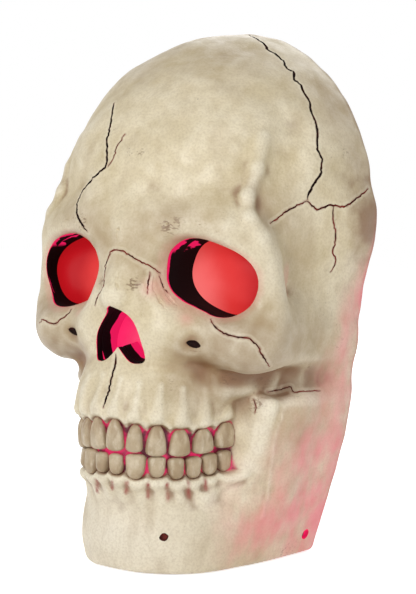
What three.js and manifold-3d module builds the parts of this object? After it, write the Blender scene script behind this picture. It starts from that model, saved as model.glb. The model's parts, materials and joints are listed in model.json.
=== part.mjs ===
// A hollow skull decoration: the moulded front half of a skull that stands on its flat base or hangs
// flat on a wall, closed at the back by a panel that carries the batteries, the switch and the lamp.
// Millimetres, +Z up, the face looks along -Y. While the pieces are made, y = 0 is the rim at the back,
// z = 0 the base and x = 0 the mid-plane. The last lines centre the whole group over its base.
import * as THREE from 'three';
import { mergeVertices } from 'three/addons/utils/BufferGeometryUtils.js';
import Module from 'manifold-3d';

const wasm = await Module();
wasm.setup();

// Driving dimensions: shell
const WALL = 3;
const FIT = 0.3;
const ROOT = 0.5;
const PAST = 1;
const OUTER_FACET = 10;
const INNER_FACET = 12;
const TOOTH_DEPTH = 9;
const TOOTH_GAP = 1;
const TOOTH_PROUD = 1;
const TOOTH_FACE_SQUARENESS = 2.6;
const TOOTH_TAPER = 0.08;
const MOUTH_RECESS = 4;
const MOUTH_LOW = 51.5;
const MOUTH_HIGH = 86;
const TIE_HOLE_RADIUS = 3;
const TIE_HOLE_Y = -12;
const TIE_HOLE_Z = 12;
const BOSS_RADIUS = 4.5;
const BOSS_LENGTH = 30;
const BOSS_INSET = 4;
const BOSS_HEIGHTS = [32, 122, 238];

// Driving dimensions: eyes and nose
const EYE_X = 48;
const EYE_Z = 164;
const EYE_HALF_WIDTH = 25.3;
const EYE_HALF_HEIGHT = 19.6;
const EYE_SQUARENESS = 2.4;
const EYE_TILT = -20;
const EYE_POINTS = 28;
const LINER_WALL = 1.6;
const LINER_LAP = 0.6;
const EYE_MOUTH_Y = -100;
const EYE_LINER_BACK = -75;
const EYE_TAPER = 0.9;
const EYE_POCKET_DEPTH = 15;
const LENS_THICK = 2;
const LENS_DOME = 4;
const LEDGE_WIDTH = 2;
const LEDGE_THICK = 1.6;
const NOSE_MOUTH_Y = -118;
const NOSE_LINER_FRONT = -117;
const NOSE_LINER_BACK = -96;
const NOSE_TAPER = 0.8;
const NOSE_CENTRE_Z = 138;
const NOSE_PANE_THICK = 1.6;

// Driving dimensions: back panel, door and hinge
const PANEL_SETBACK = 4;
const PANEL_THICK = 2.5;
const PANEL_GAP = 0.4;
const DOOR_THICK = 2.2;
const HINGE_RADIUS = 1.7;
const HINGE_PIN_RADIUS = 0.7;
const HINGE_DROP = 2.6;
const DOOR_KNUCKLE_LENGTH = 16;
const PANEL_KNUCKLE_LENGTH = 6;
const HINGE_LEAF_REACH = 6;
const THUMB_NOTCH_RADIUS = 6;
const KEYHOLE_Z = 236;
const KEYHOLE_RADIUS = 5;
const KEYHOLE_SLOT = 5;
const KEYHOLE_RISE = 13;

// Driving dimensions: batteries, lamp and switch
const MODULE_Z = 140;
const CELL_RADIUS = 7.1;
const CELL_LENGTH = 50.5;
const CELL_NUB_RADIUS = 2.7;
const CELL_NUB_LENGTH = 1;
const CELL_COUNT = 3;
const CELL_PITCH = 15;
const SPRING_LENGTH = 5;
const SPRING_RADIUS = 4;
const SPRING_TIP_RADIUS = 2.2;
const SPRING_WIRE = 0.35;
const SPRING_TURNS = 3;
const PLATE_THICK = 0.6;
const PLATE_WIDTH = 9;
const TRAY_WALL = 1.8;
const POST_RADIUS = 3.5;
const POST_LENGTH = 7;
const EAR_THICK = 2;
const EAR_RISE = 21;
const LAMP_RADIUS = 23;
const LAMP_DEPTH = 10;
const LAMP_WALL = 2;
const LAMP_POST_LENGTH = 4;
const BOARD_THICK = 1.6;
const BOARD_RECESS = 4;
const DOME_DEPTH = 26;
const DOME_WALL = 1.6;
const LED_RADIUS = 2.5;
const LED_LENGTH = 8.6;
const LED_FLANGE_WIDTH = 0.4;
const LED_FLANGE_THICK = 1;
const LED_RING_RADIUS = 12;
const LED_RING_COUNT = 4;
const SWITCH_X = 40;
const SWITCH_TRAVEL = 4;
const KNOB_WIDTH = 4;
const KNOB_LENGTH = 5;
const KNOB_PROUD = 1.8;
const SLIDER_FLANGE = 1.5;
const SWITCH_DEPTH = 6;
const SWITCH_BODY_WIDTH = 9;
const SWITCH_BODY_LENGTH = 18;
const SCREW_RADIUS = 1.4;
const SCREW_HEAD_RADIUS = 2.9;
const SCREW_HEAD_HEIGHT = 1.8;
const SCREW_CLEARANCE = 0.5;
const PILOT_CLEARANCE = 0.3;
const PANEL_SCREW_LENGTH = 14;
const TRAY_SCREW_LENGTH = 7;
const LAMP_SCREW_LENGTH = 5;
const LEAD_RADIUS = 0.9;
const LEAD_STUB = 4;
const TERMINAL_RISE = 6;

// Forms of the skull. All are drawn on the +X side and mirrored: [x, y, z].
const VAULT = { at: [0, 4, 199], radii: [92.5, 113, 104], squareness: 2.3 };
const SKIRT = { front: -22, top: 205, round: 16, blend: 18 };
const TEMPLE = { at: [104, -66, 184], radii: [24, 34, 42], blend: 18 };
const BROW = { from: [0, -104, 190], to: [56, -92, 187], radii: [11, 10], blend: 18 };
const ORBIT_PILLAR = { from: [69, -83, 182], to: [73, -78, 148], radii: [9, 10], blend: 14 };
const CHEEKBONE = { at: [58, -80, 132], radii: [25, 22, 17], blend: 14 };
const CHEEK_ARCH = { from: [66, -72, 130], to: [70, 0, 130], radii: [12, 10], blend: 16 };
const CHEEK_ARCH_LOW = { from: [66, -68, 123], to: [70, 0, 121], radii: [11, 10], blend: 8 };
const CHEEK_ARCH_HIGH = { from: [67, -66, 140], to: [71, 0, 148], radii: [11, 10], blend: 10 };
const NASAL_BONE = { from: [0, -99, 184], to: [0, -118, 154], radii: [7.5, 8.5], blend: 12 };
const NOSE_SIDE = { from: [11, -104, 170], to: [22, -102, 136], radii: [9, 13], blend: 12 };
const UNDER_EYE = { from: [20, -98, 132], to: [58, -84, 130], radii: [12, 14], blend: 12 };
const MIDFACE = { at: [0, -86, 136], radii: [30, 30, 32], blend: 12 };
const ORBIT = { y: -116, lip: 2.6, depth: 30, blend: 5 };
const TEMPLE_HOLLOW = [[82, -62, 249], [87, -73, 228], [89, -83, 210], [94, -77, 191]];
const TEMPLE_HOLLOW_RADIUS = 16;
const TEMPLE_HOLLOW_BLEND = 9;
const CHEEK_HOLLOW = { from: [56, -86, 101], to: [70, -60, 102], radii: [9, 9], blend: 9 };
const CHEEK_WALL = { inset: 5, front: -48, top: 126, round: 8, blend: 6 };
const JAW_BODY = { depth: 104, squareness: 2.7, top: 40, topRound: 22, blend: 10 };
const RAMUS = { front: -55, lean: 0.35, leanFrom: 30, top: 91, fall: 0.1, round: 8, blend: 5 };
const MOUTH_CORNER = { at: [47, -60, 68], radii: [10, 11, 28] };
const ARCH = { centreY: -58, top: 125, topRound: 16, blend: 10 };
const CHIN = { squareness: 0.5, from: 45, over: 30 };
const MOUTH_EDGE = 1.2;
const CAVITY_BLEND = 4;

// Half-width of the rim, and half-width and depth of the dental arch, by height: [z, size].
const RIM_HALF_WIDTH = [[-30, 44], [0, 52], [30, 62], [60, 71], [100, 79], [140, 80], [165, 81], [190, 86],
  [216, 93]];
const ARCH_HALF_WIDTH = [[-20, 44], [0, 45], [30, 44], [52, 45], [92, 47], [110, 48], [125, 44]];
const ARCH_DEPTH = [[-20, 50], [0, 52], [14, 57], [34, 56], [52, 64], [70, 69], [92, 71], [108, 65],
  [125, 57]];

// Teeth of one side, from the mid-plane back: [width, biting edge z, gum z].
const UPPER_TEETH = [[11, 70, 88], [10, 69.5, 86], [12, 67.5, 85], [13, 67, 83], [14.5, 67.5, 82.5],
  [16.5, 69, 85]];
const LOWER_TEETH = [[9, 56, 67.5], [12, 54, 68], [10.5, 55, 66.5], [10, 53.5, 65.5], [10, 53.5, 65.5],
  [10.5, 54.5, 66.5], [10.5, 55, 67]];

// Half of the nose opening: a peak, a side that is upright at its widest place, a round lobe and the spine
const NOSE_PEAK_Z = 148;
const NOSE_PEAK_DROP = 3;
const NOSE_HALF_WIDTH = 16.5;
const NOSE_WIDEST_Z = 121;
const NOSE_SIDE_RISE = 12;
const NOSE_LOBE_X = 11;
const NOSE_LOBE_Z = 116.5;
const NOSE_LOBE_ROUND = 4;
const NOSE_SPINE_Z = 125;
const NOSE_SPINE_WIDTH = 4;
const NOSE_CURVE_STEPS = 4;

// Colours of the pieces
const BONE = { color: 0xd7cdb4, roughness: 0.6, metalness: 0 };
const BLACK = { color: 0x0b0a0b, roughness: 0.7, metalness: 0 };
const RED_LENS = { color: 0xe54b46, roughness: 0.35, metalness: 0 };
const MAGENTA = { color: 0xe81c5c, roughness: 0.4, metalness: 0 };
const PANEL_GREY = { color: 0x4a4540, roughness: 0.6, metalness: 0 };
const STEEL = { color: 0xb9bbbd, roughness: 0.35, metalness: 0.9 };
const CELL_SKIN = { color: 0x2f5f8a, roughness: 0.4, metalness: 0.2 };
const BOARD_GREEN = { color: 0x1f5a35, roughness: 0.5, metalness: 0 };
const LEAD_RED = { color: 0xa81f1f, roughness: 0.5, metalness: 0 };
const LEAD_BLACK = { color: 0x161616, roughness: 0.5, metalness: 0 };

const group = new THREE.Group();

function addMesh(name, geometry, look, position = [0, 0, 0], rotation = [0, 0, 0]) {
  const mesh = new THREE.Mesh(geometry, new THREE.MeshStandardMaterial(look));
  mesh.name = name;
  mesh.position.set(...position);
  mesh.rotation.set(...rotation);
  group.add(mesh);
}

// Joining and cutting
function solid(geometry) {
  const bare = geometry.clone();
  bare.deleteAttribute('normal');
  bare.deleteAttribute('uv');
  const merged = mergeVertices(bare, 1e-4);
  const vertProperties = new Float32Array(merged.attributes.position.array);
  const triVerts = new Uint32Array(merged.index.array);
  return new wasm.Manifold(new wasm.Mesh({ numProp: 3, vertProperties, triVerts }));
}

function geometryOf(manifold) {
  const mesh = manifold.getMesh();
  const geometry = new THREE.BufferGeometry();
  geometry.setAttribute('position', new THREE.BufferAttribute(new Float32Array(mesh.vertProperties), 3));
  geometry.setIndex(new THREE.BufferAttribute(new Uint32Array(mesh.triVerts), 1));
  geometry.computeVertexNormals();
  return geometry;
}

const join = (...solids) => solids.reduce((all, one) => all.add(one));

// A box between two corners, and round bars along each axis
function boxBetween([x0, y0, z0], [x1, y1, z1]) {
  const box = new THREE.BoxGeometry(x1 - x0, y1 - y0, z1 - z0);
  return solid(box.translate((x0 + x1) / 2, (y0 + y1) / 2, (z0 + z1) / 2));
}

function barAlongY(x, z, radius, yFront, yBack, sides = 12) {
  const bar = new THREE.CylinderGeometry(radius, radius, yBack - yFront, sides);
  return solid(bar.translate(x, (yFront + yBack) / 2, z));
}

function barAlongX(y, z, radius, xLeft, xRight, sides = 12) {
  const bar = new THREE.CylinderGeometry(radius, radius, xRight - xLeft, sides).rotateZ(Math.PI / 2);
  return solid(bar.translate((xLeft + xRight) / 2, y, z));
}

// A prism of an outline in the XZ plane, with an optional hole, from yFront to yBack
function prism(outline, yFront, yBack, hole = null) {
  const shape = new THREE.Shape(outline);
  if (hole) shape.holes.push(new THREE.Path(hole));
  const geometry = new THREE.ExtrudeGeometry(shape, { depth: yBack - yFront, bevelEnabled: false });
  return solid(geometry.rotateX(Math.PI / 2).translate(0, yBack, 0));
}

// A closed solid through rings of points, capped with fans at both ends
function loft(rings) {
  const sides = rings[0].length;
  const centreOf = (ring) => ring.reduce((sum, p) => sum.add(p), new THREE.Vector3()).divideScalar(sides);
  const points = [...rings.flat(), centreOf(rings[0]), centreOf(rings[rings.length - 1])];
  const first = points.length - 2;
  const last = points.length - 1;
  const triangles = [];
  for (let side = 0; side < sides; side += 1) {
    const next = (side + 1) % sides;
    triangles.push(first, next, side);
    for (let ring = 0; ring < rings.length - 1; ring += 1) {
      const a = ring * sides;
      const b = a + sides;
      triangles.push(a + side, a + next, b + next, a + side, b + next, b + side);
    }
    const end = (rings.length - 1) * sides;
    triangles.push(last, end + side, end + next);
  }
  const geometry = new THREE.BufferGeometry().setFromPoints(points);
  geometry.setIndex(triangles);
  return geometry;
}

// Distance fields of simple forms, and their smooth unions and cuts
const clamp = THREE.MathUtils.clamp;
const power = (value, exponent) => Math.abs(value) ** exponent;

function blendMin(a, b, reach) {
  const share = clamp(0.5 + (0.5 * (b - a)) / reach, 0, 1);
  return b + (a - b) * share - reach * share * (1 - share);
}

const blendMax = (a, b, reach) => -blendMin(-a, -b, reach);

function ellipsoid(p, form) {
  const scaled = p.map((value, i) => (value - form.at[i]) / form.radii[i]);
  const near = Math.hypot(...scaled);
  const slope = Math.hypot(...scaled.map((value, i) => value / form.radii[i]));
  return (near * (near - 1)) / Math.max(slope, 1e-6);
}

function taperedBar(p, form) {
  const axis = form.to.map((value, i) => value - form.from[i]);
  const offset = p.map((value, i) => value - form.from[i]);
  const dot = offset[0] * axis[0] + offset[1] * axis[1] + offset[2] * axis[2];
  const along = clamp(dot / (axis[0] ** 2 + axis[1] ** 2 + axis[2] ** 2), 0, 1);
  const away = Math.hypot(...offset.map((value, i) => value - along * axis[i]));
  return away - THREE.MathUtils.lerp(form.radii[0], form.radii[1], along);
}

function roundedCorner(distances, round) {
  const outside = Math.hypot(...distances.map((value) => Math.max(value + round, 0)));
  return outside + Math.min(Math.max(...distances) + round, 0) - round;
}

// Smooth curve through stations [z, size]
function sizeAt(stations, z) {
  const last = stations.length - 1;
  const slope = (i) => {
    const from = stations[Math.max(i - 1, 0)];
    const to = stations[Math.min(i + 1, last)];
    return (to[1] - from[1]) / (to[0] - from[0]);
  };
  let i = 0;
  while (i < last - 1 && z > stations[i + 1][0]) i += 1;
  const span = stations[i + 1][0] - stations[i][0];
  const t = clamp((z - stations[i][0]) / span, 0, 1);
  const startShare = (1 + 2 * t) * (1 - t) ** 2;
  const pull = t * (1 - t) * ((1 - t) * slope(i) - t * slope(i + 1)) * span;
  return startShare * stations[i][1] + (1 - startShare) * stations[i + 1][1] + pull;
}

function vaultField(p) {
  const { at, radii, squareness } = VAULT;
  const [x, y, z] = p.map((value, i) => Math.abs(value - at[i]) / radii[i]);
  const level = (x ** squareness + y ** squareness) ** (1 / squareness);
  return (Math.hypot(level, z) - 1) * Math.min(...radii);
}

function skirtField([x, y, z]) {
  return roundedCorner([x - sizeAt(RIM_HALF_WIDTH, z), SKIRT.front - y, z - SKIRT.top], SKIRT.round);
}

function ramusField([x, y, z]) {
  const front = RAMUS.front - RAMUS.lean * clamp(RAMUS.top - z, 0, RAMUS.top - RAMUS.leanFrom);
  const top = RAMUS.top + RAMUS.fall * (y - RAMUS.front);
  return roundedCorner([x - sizeAt(RIM_HALF_WIDTH, z), front - y, z - top], RAMUS.round);
}

function cheekWallField([x, y, z]) {
  const side = x - sizeAt(RIM_HALF_WIDTH, z) + CHEEK_WALL.inset;
  return roundedCorner([side, CHEEK_WALL.front - y, z - CHEEK_WALL.top], CHEEK_WALL.round);
}

function mouthShare(z) {
  const low = 1 + Math.exp((MOUTH_LOW - z) / MOUTH_EDGE);
  const high = 1 + Math.exp((z - MOUTH_HIGH) / MOUTH_EDGE);
  return 1 / (low * high);
}

function archField([x, y, z]) {
  const recess = MOUTH_RECESS * mouthShare(z);
  const halfWidth = sizeAt(ARCH_HALF_WIDTH, z) - recess;
  const depth = sizeAt(ARCH_DEPTH, z) - recess;
  const squareness = 2 + CHIN.squareness * clamp((CHIN.from - z) / CHIN.over, 0, 1);
  const forward = Math.max(ARCH.centreY - y, 0);
  const level = (power(x / halfWidth, squareness) + power(forward / depth, squareness)) ** (1 / squareness);
  return blendMax((level - 1) * Math.min(halfWidth, depth), z - ARCH.top, ARCH.topRound);
}

function jawBodyField([x, y, z]) {
  const halfWidth = sizeAt(RIM_HALF_WIDTH, z);
  const { depth, squareness, top, topRound } = JAW_BODY;
  const forward = Math.max(-y, 0);
  const level = (power(x / halfWidth, squareness) + power(forward / depth, squareness)) ** (1 / squareness);
  return blendMax((level - 1) * halfWidth, z - top, topRound);
}

function orbitField([x, y, z]) {
  const turn = THREE.MathUtils.degToRad(EYE_TILT);
  const u = (x - EYE_X) * Math.cos(turn) + (z - EYE_Z) * Math.sin(turn);
  const w = (z - EYE_Z) * Math.cos(turn) - (x - EYE_X) * Math.sin(turn);
  const across = power(u / (EYE_HALF_WIDTH + ORBIT.lip), EYE_SQUARENESS);
  const upright = power(w / (EYE_HALF_HEIGHT + ORBIT.lip), EYE_SQUARENESS);
  const level = Math.hypot((across + upright) ** (1 / EYE_SQUARENESS), (y - ORBIT.y) / ORBIT.depth);
  return (level - 1) * EYE_HALF_HEIGHT;
}

// The hollow behind the edge of the temple, as one bar after the other
const TEMPLE_HOLLOW_BARS = TEMPLE_HOLLOW.slice(1).map((to, i) => {
  return { from: TEMPLE_HOLLOW[i], to, radii: [TEMPLE_HOLLOW_RADIUS, TEMPLE_HOLLOW_RADIUS] };
});

// The outside of the skull: negative inside, zero on the surface
function skullField(x, y, z) {
  const p = [Math.abs(x), y, z];
  let field = blendMin(vaultField(p), skirtField(p), SKIRT.blend);
  field = blendMax(field, -ellipsoid(p, TEMPLE), TEMPLE.blend);
  field = blendMin(field, taperedBar(p, BROW), BROW.blend);
  field = blendMin(field, taperedBar(p, ORBIT_PILLAR), ORBIT_PILLAR.blend);
  field = blendMin(field, ellipsoid(p, CHEEKBONE), CHEEKBONE.blend);
  for (const form of [CHEEK_ARCH, CHEEK_ARCH_LOW, CHEEK_ARCH_HIGH]) {
    field = blendMin(field, taperedBar(p, form), form.blend);
  }
  field = blendMin(field, archField(p), ARCH.blend);
  field = blendMin(field, jawBodyField(p), JAW_BODY.blend);
  field = blendMin(field, ellipsoid(p, MIDFACE), MIDFACE.blend);
  for (const form of [NASAL_BONE, NOSE_SIDE, UNDER_EYE]) {
    field = blendMin(field, taperedBar(p, form), form.blend);
  }
  field = blendMax(field, -orbitField(p), ORBIT.blend);
  for (const form of TEMPLE_HOLLOW_BARS) field = blendMax(field, -taperedBar(p, form), TEMPLE_HOLLOW_BLEND);
  field = blendMax(field, -taperedBar(p, CHEEK_HOLLOW), CHEEK_HOLLOW.blend);
  field = blendMin(field, cheekWallField(p), CHEEK_WALL.blend);
  return blendMin(field, ramusField(p), RAMUS.blend);
}

// A grid cell's corners are numbered by bits, one for each axis. An edge is named by its lower corner
// and its axis.
const CORNERS = [0, 1, 2, 3, 4, 5, 6, 7];
const AXES = [0, 1, 2];
const edgeName = (corner, axis) => 3 * corner + axis;
const CELL_EDGES = CORNERS.flatMap((from) => AXES.filter((axis) => !(from >> axis & 1)).map((axis) => {
  return { name: edgeName(from, axis), axis, from, to: from | 1 << axis };
}));
const CELL_FACES = AXES.flatMap((axis) => [0, 1].map((side) => CELL_EDGES.filter((edge) => {
  return edge.axis !== axis && (edge.from >> axis & 1) === side;
})));

// The sheets of the surface in a cell: edge crossings are linked across faces, and two inside corners that
// face each other across a corner of one face stay apart, so that neighbouring cells agree
function cellSheets(inside) {
  const sheets = new Map(CELL_EDGES.map((edge) => [edge.name, edge.name]));
  const link = (one, other) => {
    const [kept, dropped] = [sheets.get(one.name), sheets.get(other.name)];
    for (const [name, sheet] of sheets) if (sheet === dropped) sheets.set(name, kept);
  };
  for (const face of CELL_FACES) {
    const crossed = face.filter((edge) => inside[edge.from] !== inside[edge.to]);
    if (crossed.length === 2) link(...crossed);
    if (crossed.length < 4) continue;
    for (const corner of CORNERS.filter((number) => inside[number])) {
      const pair = crossed.filter((edge) => edge.from === corner || edge.to === corner);
      if (pair.length === 2) link(...pair);
    }
  }
  return sheets;
}

// Closed mesh of a field: one vertex for each sheet in each grid cell, moved onto the surface
function meshOfField(field, cell, low, high) {
  const counts = low.map((value, i) => Math.ceil((high[i] - value) / cell) + 1);
  const strides = [1, counts[0], counts[0] * counts[1]];
  const at = (node) => node[0] + node[1] * strides[1] + node[2] * strides[2];
  const place = (node) => node.map((value, i) => low[i] + value * cell);
  const cornerAt = (corner) => AXES.reduce((sum, axis) => sum + (corner >> axis & 1) * strides[axis], 0);
  const eachNode = (limits, visit) => {
    for (let k = 0; k < limits[2]; k += 1) {
      for (let j = 0; j < limits[1]; j += 1) {
        for (let i = 0; i < limits[0]; i += 1) visit([i, j, k]);
      }
    }
  };
  const values = new Float64Array(counts[0] * counts[1] * counts[2]);
  eachNode(counts, (node) => {
    values[at(node)] = field(...place(node));
  });
  const points = [];
  const cells = new Map();
  const cellCounts = counts.map((count) => count - 1);
  eachNode(cellCounts, (node) => {
    const inside = CORNERS.map((corner) => values[at(node) + cornerAt(corner)] < 0);
    if (inside.every((value) => value === inside[0])) return;
    const sheets = cellSheets(inside);
    const crossings = new Map();
    for (const { name, axis, from, to } of CELL_EDGES) {
      if (inside[from] === inside[to]) continue;
      const start = values[at(node) + cornerAt(from)];
      const end = values[at(node) + cornerAt(to)];
      const crossing = place(node.map((value, i) => value + (from >> i & 1)));
      crossing[axis] += (cell * start) / (start - end);
      const sheet = sheets.get(name);
      crossings.set(sheet, [...(crossings.get(sheet) ?? []), crossing]);
    }
    const vertices = new Map();
    for (const [sheet, spots] of crossings) {
      const mean = AXES.map((i) => spots.reduce((sum, spot) => sum + spot[i], 0) / spots.length);
      vertices.set(sheet, points.length);
      points.push(new THREE.Vector3(...ontoSurface(field, mean, cell / 2)));
    }
    cells.set(at(node), (name) => vertices.get(sheets.get(name)));
  });
  const triangles = [];
  eachNode(cellCounts, (node) => {
    for (const axis of AXES) {
      const start = values[at(node)];
      const end = values[at(node) + strides[axis]];
      if (start < 0 === end < 0) continue;
      const across = 1 << (axis + 1) % 3;
      const upright = 1 << (axis + 2) % 3;
      const around = [across | upright, upright, 0, across];
      const quad = around.map((corner) => cells.get(at(node) - cornerAt(corner))(edgeName(corner, axis)));
      if (start >= 0) quad.reverse();
      const [p, q, r, s] = quad;
      const shortWay = points[p].distanceTo(points[r]) < points[q].distanceTo(points[s]);
      triangles.push(...(shortWay ? [p, q, r, p, r, s] : [q, r, s, q, s, p]));
    }
  });
  const geometry = new THREE.BufferGeometry().setFromPoints(points);
  geometry.setIndex(triangles);
  return geometry;
}

function ontoSurface(field, start, reach) {
  const nudge = 0.05;
  let p = start;
  for (let round = 0; round < 3; round += 1) {
    const value = field(...p);
    const slope = [0, 1, 2].map((axis) => {
      const moved = p.map((v, i) => (i === axis ? v + nudge : v));
      return (field(...moved) - value) / nudge;
    });
    const square = Math.max(slope[0] ** 2 + slope[1] ** 2 + slope[2] ** 2, 0.04);
    p = p.map((v, i) => v - (value * slope[i]) / square);
  }
  return p.map((v, i) => clamp(v, start[i] - reach, start[i] + reach));
}

// The largest of the separate bodies in a mesh
function largestBody(geometry) {
  const index = geometry.index.array;
  const parent = Array.from({ length: geometry.attributes.position.count }, (_, i) => i);
  const rootOf = (vertex) => {
    let root = vertex;
    while (parent[root] !== root) root = parent[root];
    parent[vertex] = root;
    return root;
  };
  const bodies = new Map();
  for (let i = 0; i < index.length; i += 3) {
    parent[rootOf(index[i + 1])] = rootOf(index[i]);
    parent[rootOf(index[i + 2])] = rootOf(index[i]);
  }
  for (let i = 0; i < index.length; i += 3) {
    const root = rootOf(index[i]);
    if (!bodies.has(root)) bodies.set(root, []);
    bodies.get(root).push(index[i], index[i + 1], index[i + 2]);
  }
  const triangles = [...bodies.values()].sort((a, b) => b.length - a.length)[0];
  const body = new THREE.BufferGeometry();
  return body.setAttribute('position', geometry.attributes.position).setIndex(triangles);
}

// The skull's solid or the cavity in it, cut flat at the back and at the base
const SKULL_REACH = 112;
const SKULL_TOP = 314;
const SKULL_FRONT = -152;

function skullSolid(field, back, floor, facet) {
  const trim = 2 * facet;
  const bounded = (x, y, z) => Math.max(field(x, y, z), y - trim, -trim - z);
  const low = [-SKULL_REACH - facet / 2, SKULL_FRONT, -2 * trim];
  const body = largestBody(meshOfField(bounded, facet, low, [SKULL_REACH, 2 * trim, SKULL_TOP]));
  const limits = boxBetween([-SKULL_REACH, SKULL_FRONT, floor], [SKULL_REACH, back, SKULL_TOP]);
  return solid(body).intersect(limits);
}

// The cavity, a depth inside the surface. The corners of the mouth and the nasal bones stay thick.
function cavitySolid(depth, back) {
  const field = (x, y, z) => {
    const p = [Math.abs(x), y, z];
    const thick = Math.min(ellipsoid(p, MOUTH_CORNER), taperedBar(p, NASAL_BONE));
    return blendMax(skullField(x, y, z) + depth, depth - WALL - thick, CAVITY_BLEND);
  };
  return skullSolid(field, back, depth, INNER_FACET);
}

// Half-width of the skull's solid at a height of its rim
function rimHalfWidth(z, shrink) {
  let inside = 0;
  let outside = SKULL_REACH;
  while (outside - inside > 0.01) {
    const middle = (inside + outside) / 2;
    if (skullField(middle, 0, z) + shrink < 0) inside = middle;
    else outside = middle;
  }
  return inside;
}

// Outlines of the openings in the XZ plane, grown by an offset
function eyeOutline(side, grow, scale = 1) {
  const turn = THREE.MathUtils.degToRad(EYE_TILT);
  const outline = [];
  for (let i = 0; i < EYE_POINTS; i += 1) {
    const angle = (i / EYE_POINTS) * 2 * Math.PI;
    const round = (value) => Math.sign(value) * power(value, 2 / EYE_SQUARENESS);
    const u = (EYE_HALF_WIDTH * scale + grow) * round(Math.cos(angle));
    const w = (EYE_HALF_HEIGHT * scale + grow) * round(Math.sin(angle));
    const x = EYE_X + u * Math.cos(turn) - w * Math.sin(turn);
    const z = EYE_Z + u * Math.sin(turn) + w * Math.cos(turn);
    outline.push(new THREE.Vector2(side * x, z));
  }
  return side > 0 ? outline : outline.reverse();
}

function noseOutline(grow, scale = 1) {
  const side = NOSE_HALF_WIDTH + grow;
  const floor = NOSE_LOBE_Z - grow;
  const spine = NOSE_SPINE_Z - grow;
  const right = new THREE.Path();
  right.moveTo(0, NOSE_PEAK_Z + grow);
  right.bezierCurveTo(NOSE_HALF_WIDTH / 2, NOSE_PEAK_Z + grow - NOSE_PEAK_DROP,
    side, NOSE_WIDEST_Z + NOSE_SIDE_RISE, side, NOSE_WIDEST_Z);
  right.bezierCurveTo(side, NOSE_WIDEST_Z - NOSE_LOBE_ROUND - grow,
    NOSE_LOBE_X + NOSE_LOBE_ROUND, floor, NOSE_LOBE_X, floor);
  right.bezierCurveTo(NOSE_LOBE_X - NOSE_LOBE_ROUND, floor,
    NOSE_SPINE_WIDTH - grow / 2, spine - NOSE_LOBE_ROUND, 0, spine);
  const half = right.getPoints(NOSE_CURVE_STEPS);
  const mirrored = half.slice(1, -1).reverse().map((p) => new THREE.Vector2(-p.x, p.y));
  const whole = [...half, ...mirrored].reverse();
  return whole.map((p) => new THREE.Vector2(p.x * scale, NOSE_CENTRE_Z + (p.y - NOSE_CENTRE_Z) * scale));
}

// A solid that narrows from the front of the skull to a back level, where its outline is scaled by taper
function funnel(outlineAt, mouth, back, taper) {
  const frontScale = taper + ((1 - taper) * (back - SKULL_FRONT)) / (back - mouth);
  const ring = (scale, y) => outlineAt(scale).map((p) => new THREE.Vector3(p.x, y, p.y));
  return solid(loft([ring(taper, back), ring(frontScale, SKULL_FRONT)]));
}

function eyeFunnel(side, grow, back = EYE_LINER_BACK) {
  return funnel((scale) => eyeOutline(side, grow, scale), EYE_MOUTH_Y, back, EYE_TAPER);
}

function noseFunnel(grow) {
  return funnel((scale) => noseOutline(grow, scale), NOSE_MOUTH_Y, NOSE_LINER_BACK, NOSE_TAPER);
}

// The part of space between two levels of the depth
function slice(front, back) {
  return boxBetween([-SKULL_REACH, front, 0], [SKULL_REACH, back, SKULL_TOP]);
}

// Levels along the depth that several pieces share
const PANEL_OUTER = -PANEL_SETBACK;
const PANEL_INNER = PANEL_OUTER - PANEL_THICK;
const TRAY_BACK = PANEL_INNER - FIT;
const CELL_Y = TRAY_BACK - FIT - CELL_RADIUS;
const TRAY_FLOOR = CELL_Y - CELL_RADIUS - FIT;
const TRAY_FRONT = TRAY_FLOOR - TRAY_WALL;
const EAR_BACK = PANEL_INNER - POST_LENGTH - FIT;
const LAMP_BACK = TRAY_FRONT - FIT;
const LAMP_FRONT = LAMP_BACK - LAMP_DEPTH;
const BOARD_BACK = LAMP_FRONT + BOARD_RECESS - FIT;
const BOARD_FRONT = BOARD_BACK - BOARD_THICK;

// Sizes that follow from the batteries
const BAY_HALF_WIDTH = (CELL_COUNT * CELL_PITCH) / 2 + FIT;
const BAY_LENGTH = CELL_LENGTH + SPRING_LENGTH + PLATE_THICK + 3 * FIT;
const BAY_LOW = MODULE_Z - BAY_LENGTH / 2;
const BAY_HIGH = MODULE_Z + BAY_LENGTH / 2;
const TRAY_HALF_WIDTH = BAY_HALF_WIDTH + TRAY_WALL;
const EAR_X = TRAY_HALF_WIDTH + POST_RADIUS + FIT;
const HINGE_Y = PANEL_OUTER + FIT + HINGE_RADIUS;
const HINGE_Z = BAY_LOW - HINGE_DROP;
const LAMP_EAR_Z = LAMP_RADIUS + POST_RADIUS + FIT;

// Depths of the pocket that the back of each eye liner sits in
const EYE_POCKET_FRONT = EYE_LINER_BACK - EYE_POCKET_DEPTH;
const EYE_CUT_BACK = ORBIT.y + ORBIT.depth + 4 * WALL;

const sides = [['left', -1], ['right', 1]];
const outerSolid = skullSolid(skullField, 0, 0, OUTER_FACET);
const innerSolid = cavitySolid(WALL, PAST);
const seatSolid = cavitySolid(WALL + FIT, 0);
const bossPlaces = BOSS_HEIGHTS.flatMap((z) => {
  const x = rimHalfWidth(z, WALL) - BOSS_INSET;
  return [[-x, z], [x, z]];
});

// Skull shell: thin wall, screw bosses at the rim, teeth, openings and tie holes
function toothSolid(width, low, high, taper) {
  const geometry = new THREE.SphereGeometry(1, 8, 4);
  const position = geometry.attributes.position;
  const point = new THREE.Vector3();
  for (let i = 0; i < position.count; i += 1) {
    point.fromBufferAttribute(position, i);
    const level = (power(point.x, 4) + power(point.y, TOOTH_FACE_SQUARENESS) + power(point.z, 4)) ** (1 / 4);
    point.divideScalar(level);
    point.x *= (width / 2) * (1 + taper * point.z);
    position.setXYZ(i, point.x, (point.y * TOOTH_DEPTH) / 2, (point.z * (high - low)) / 2);
  }
  return geometry;
}

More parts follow.
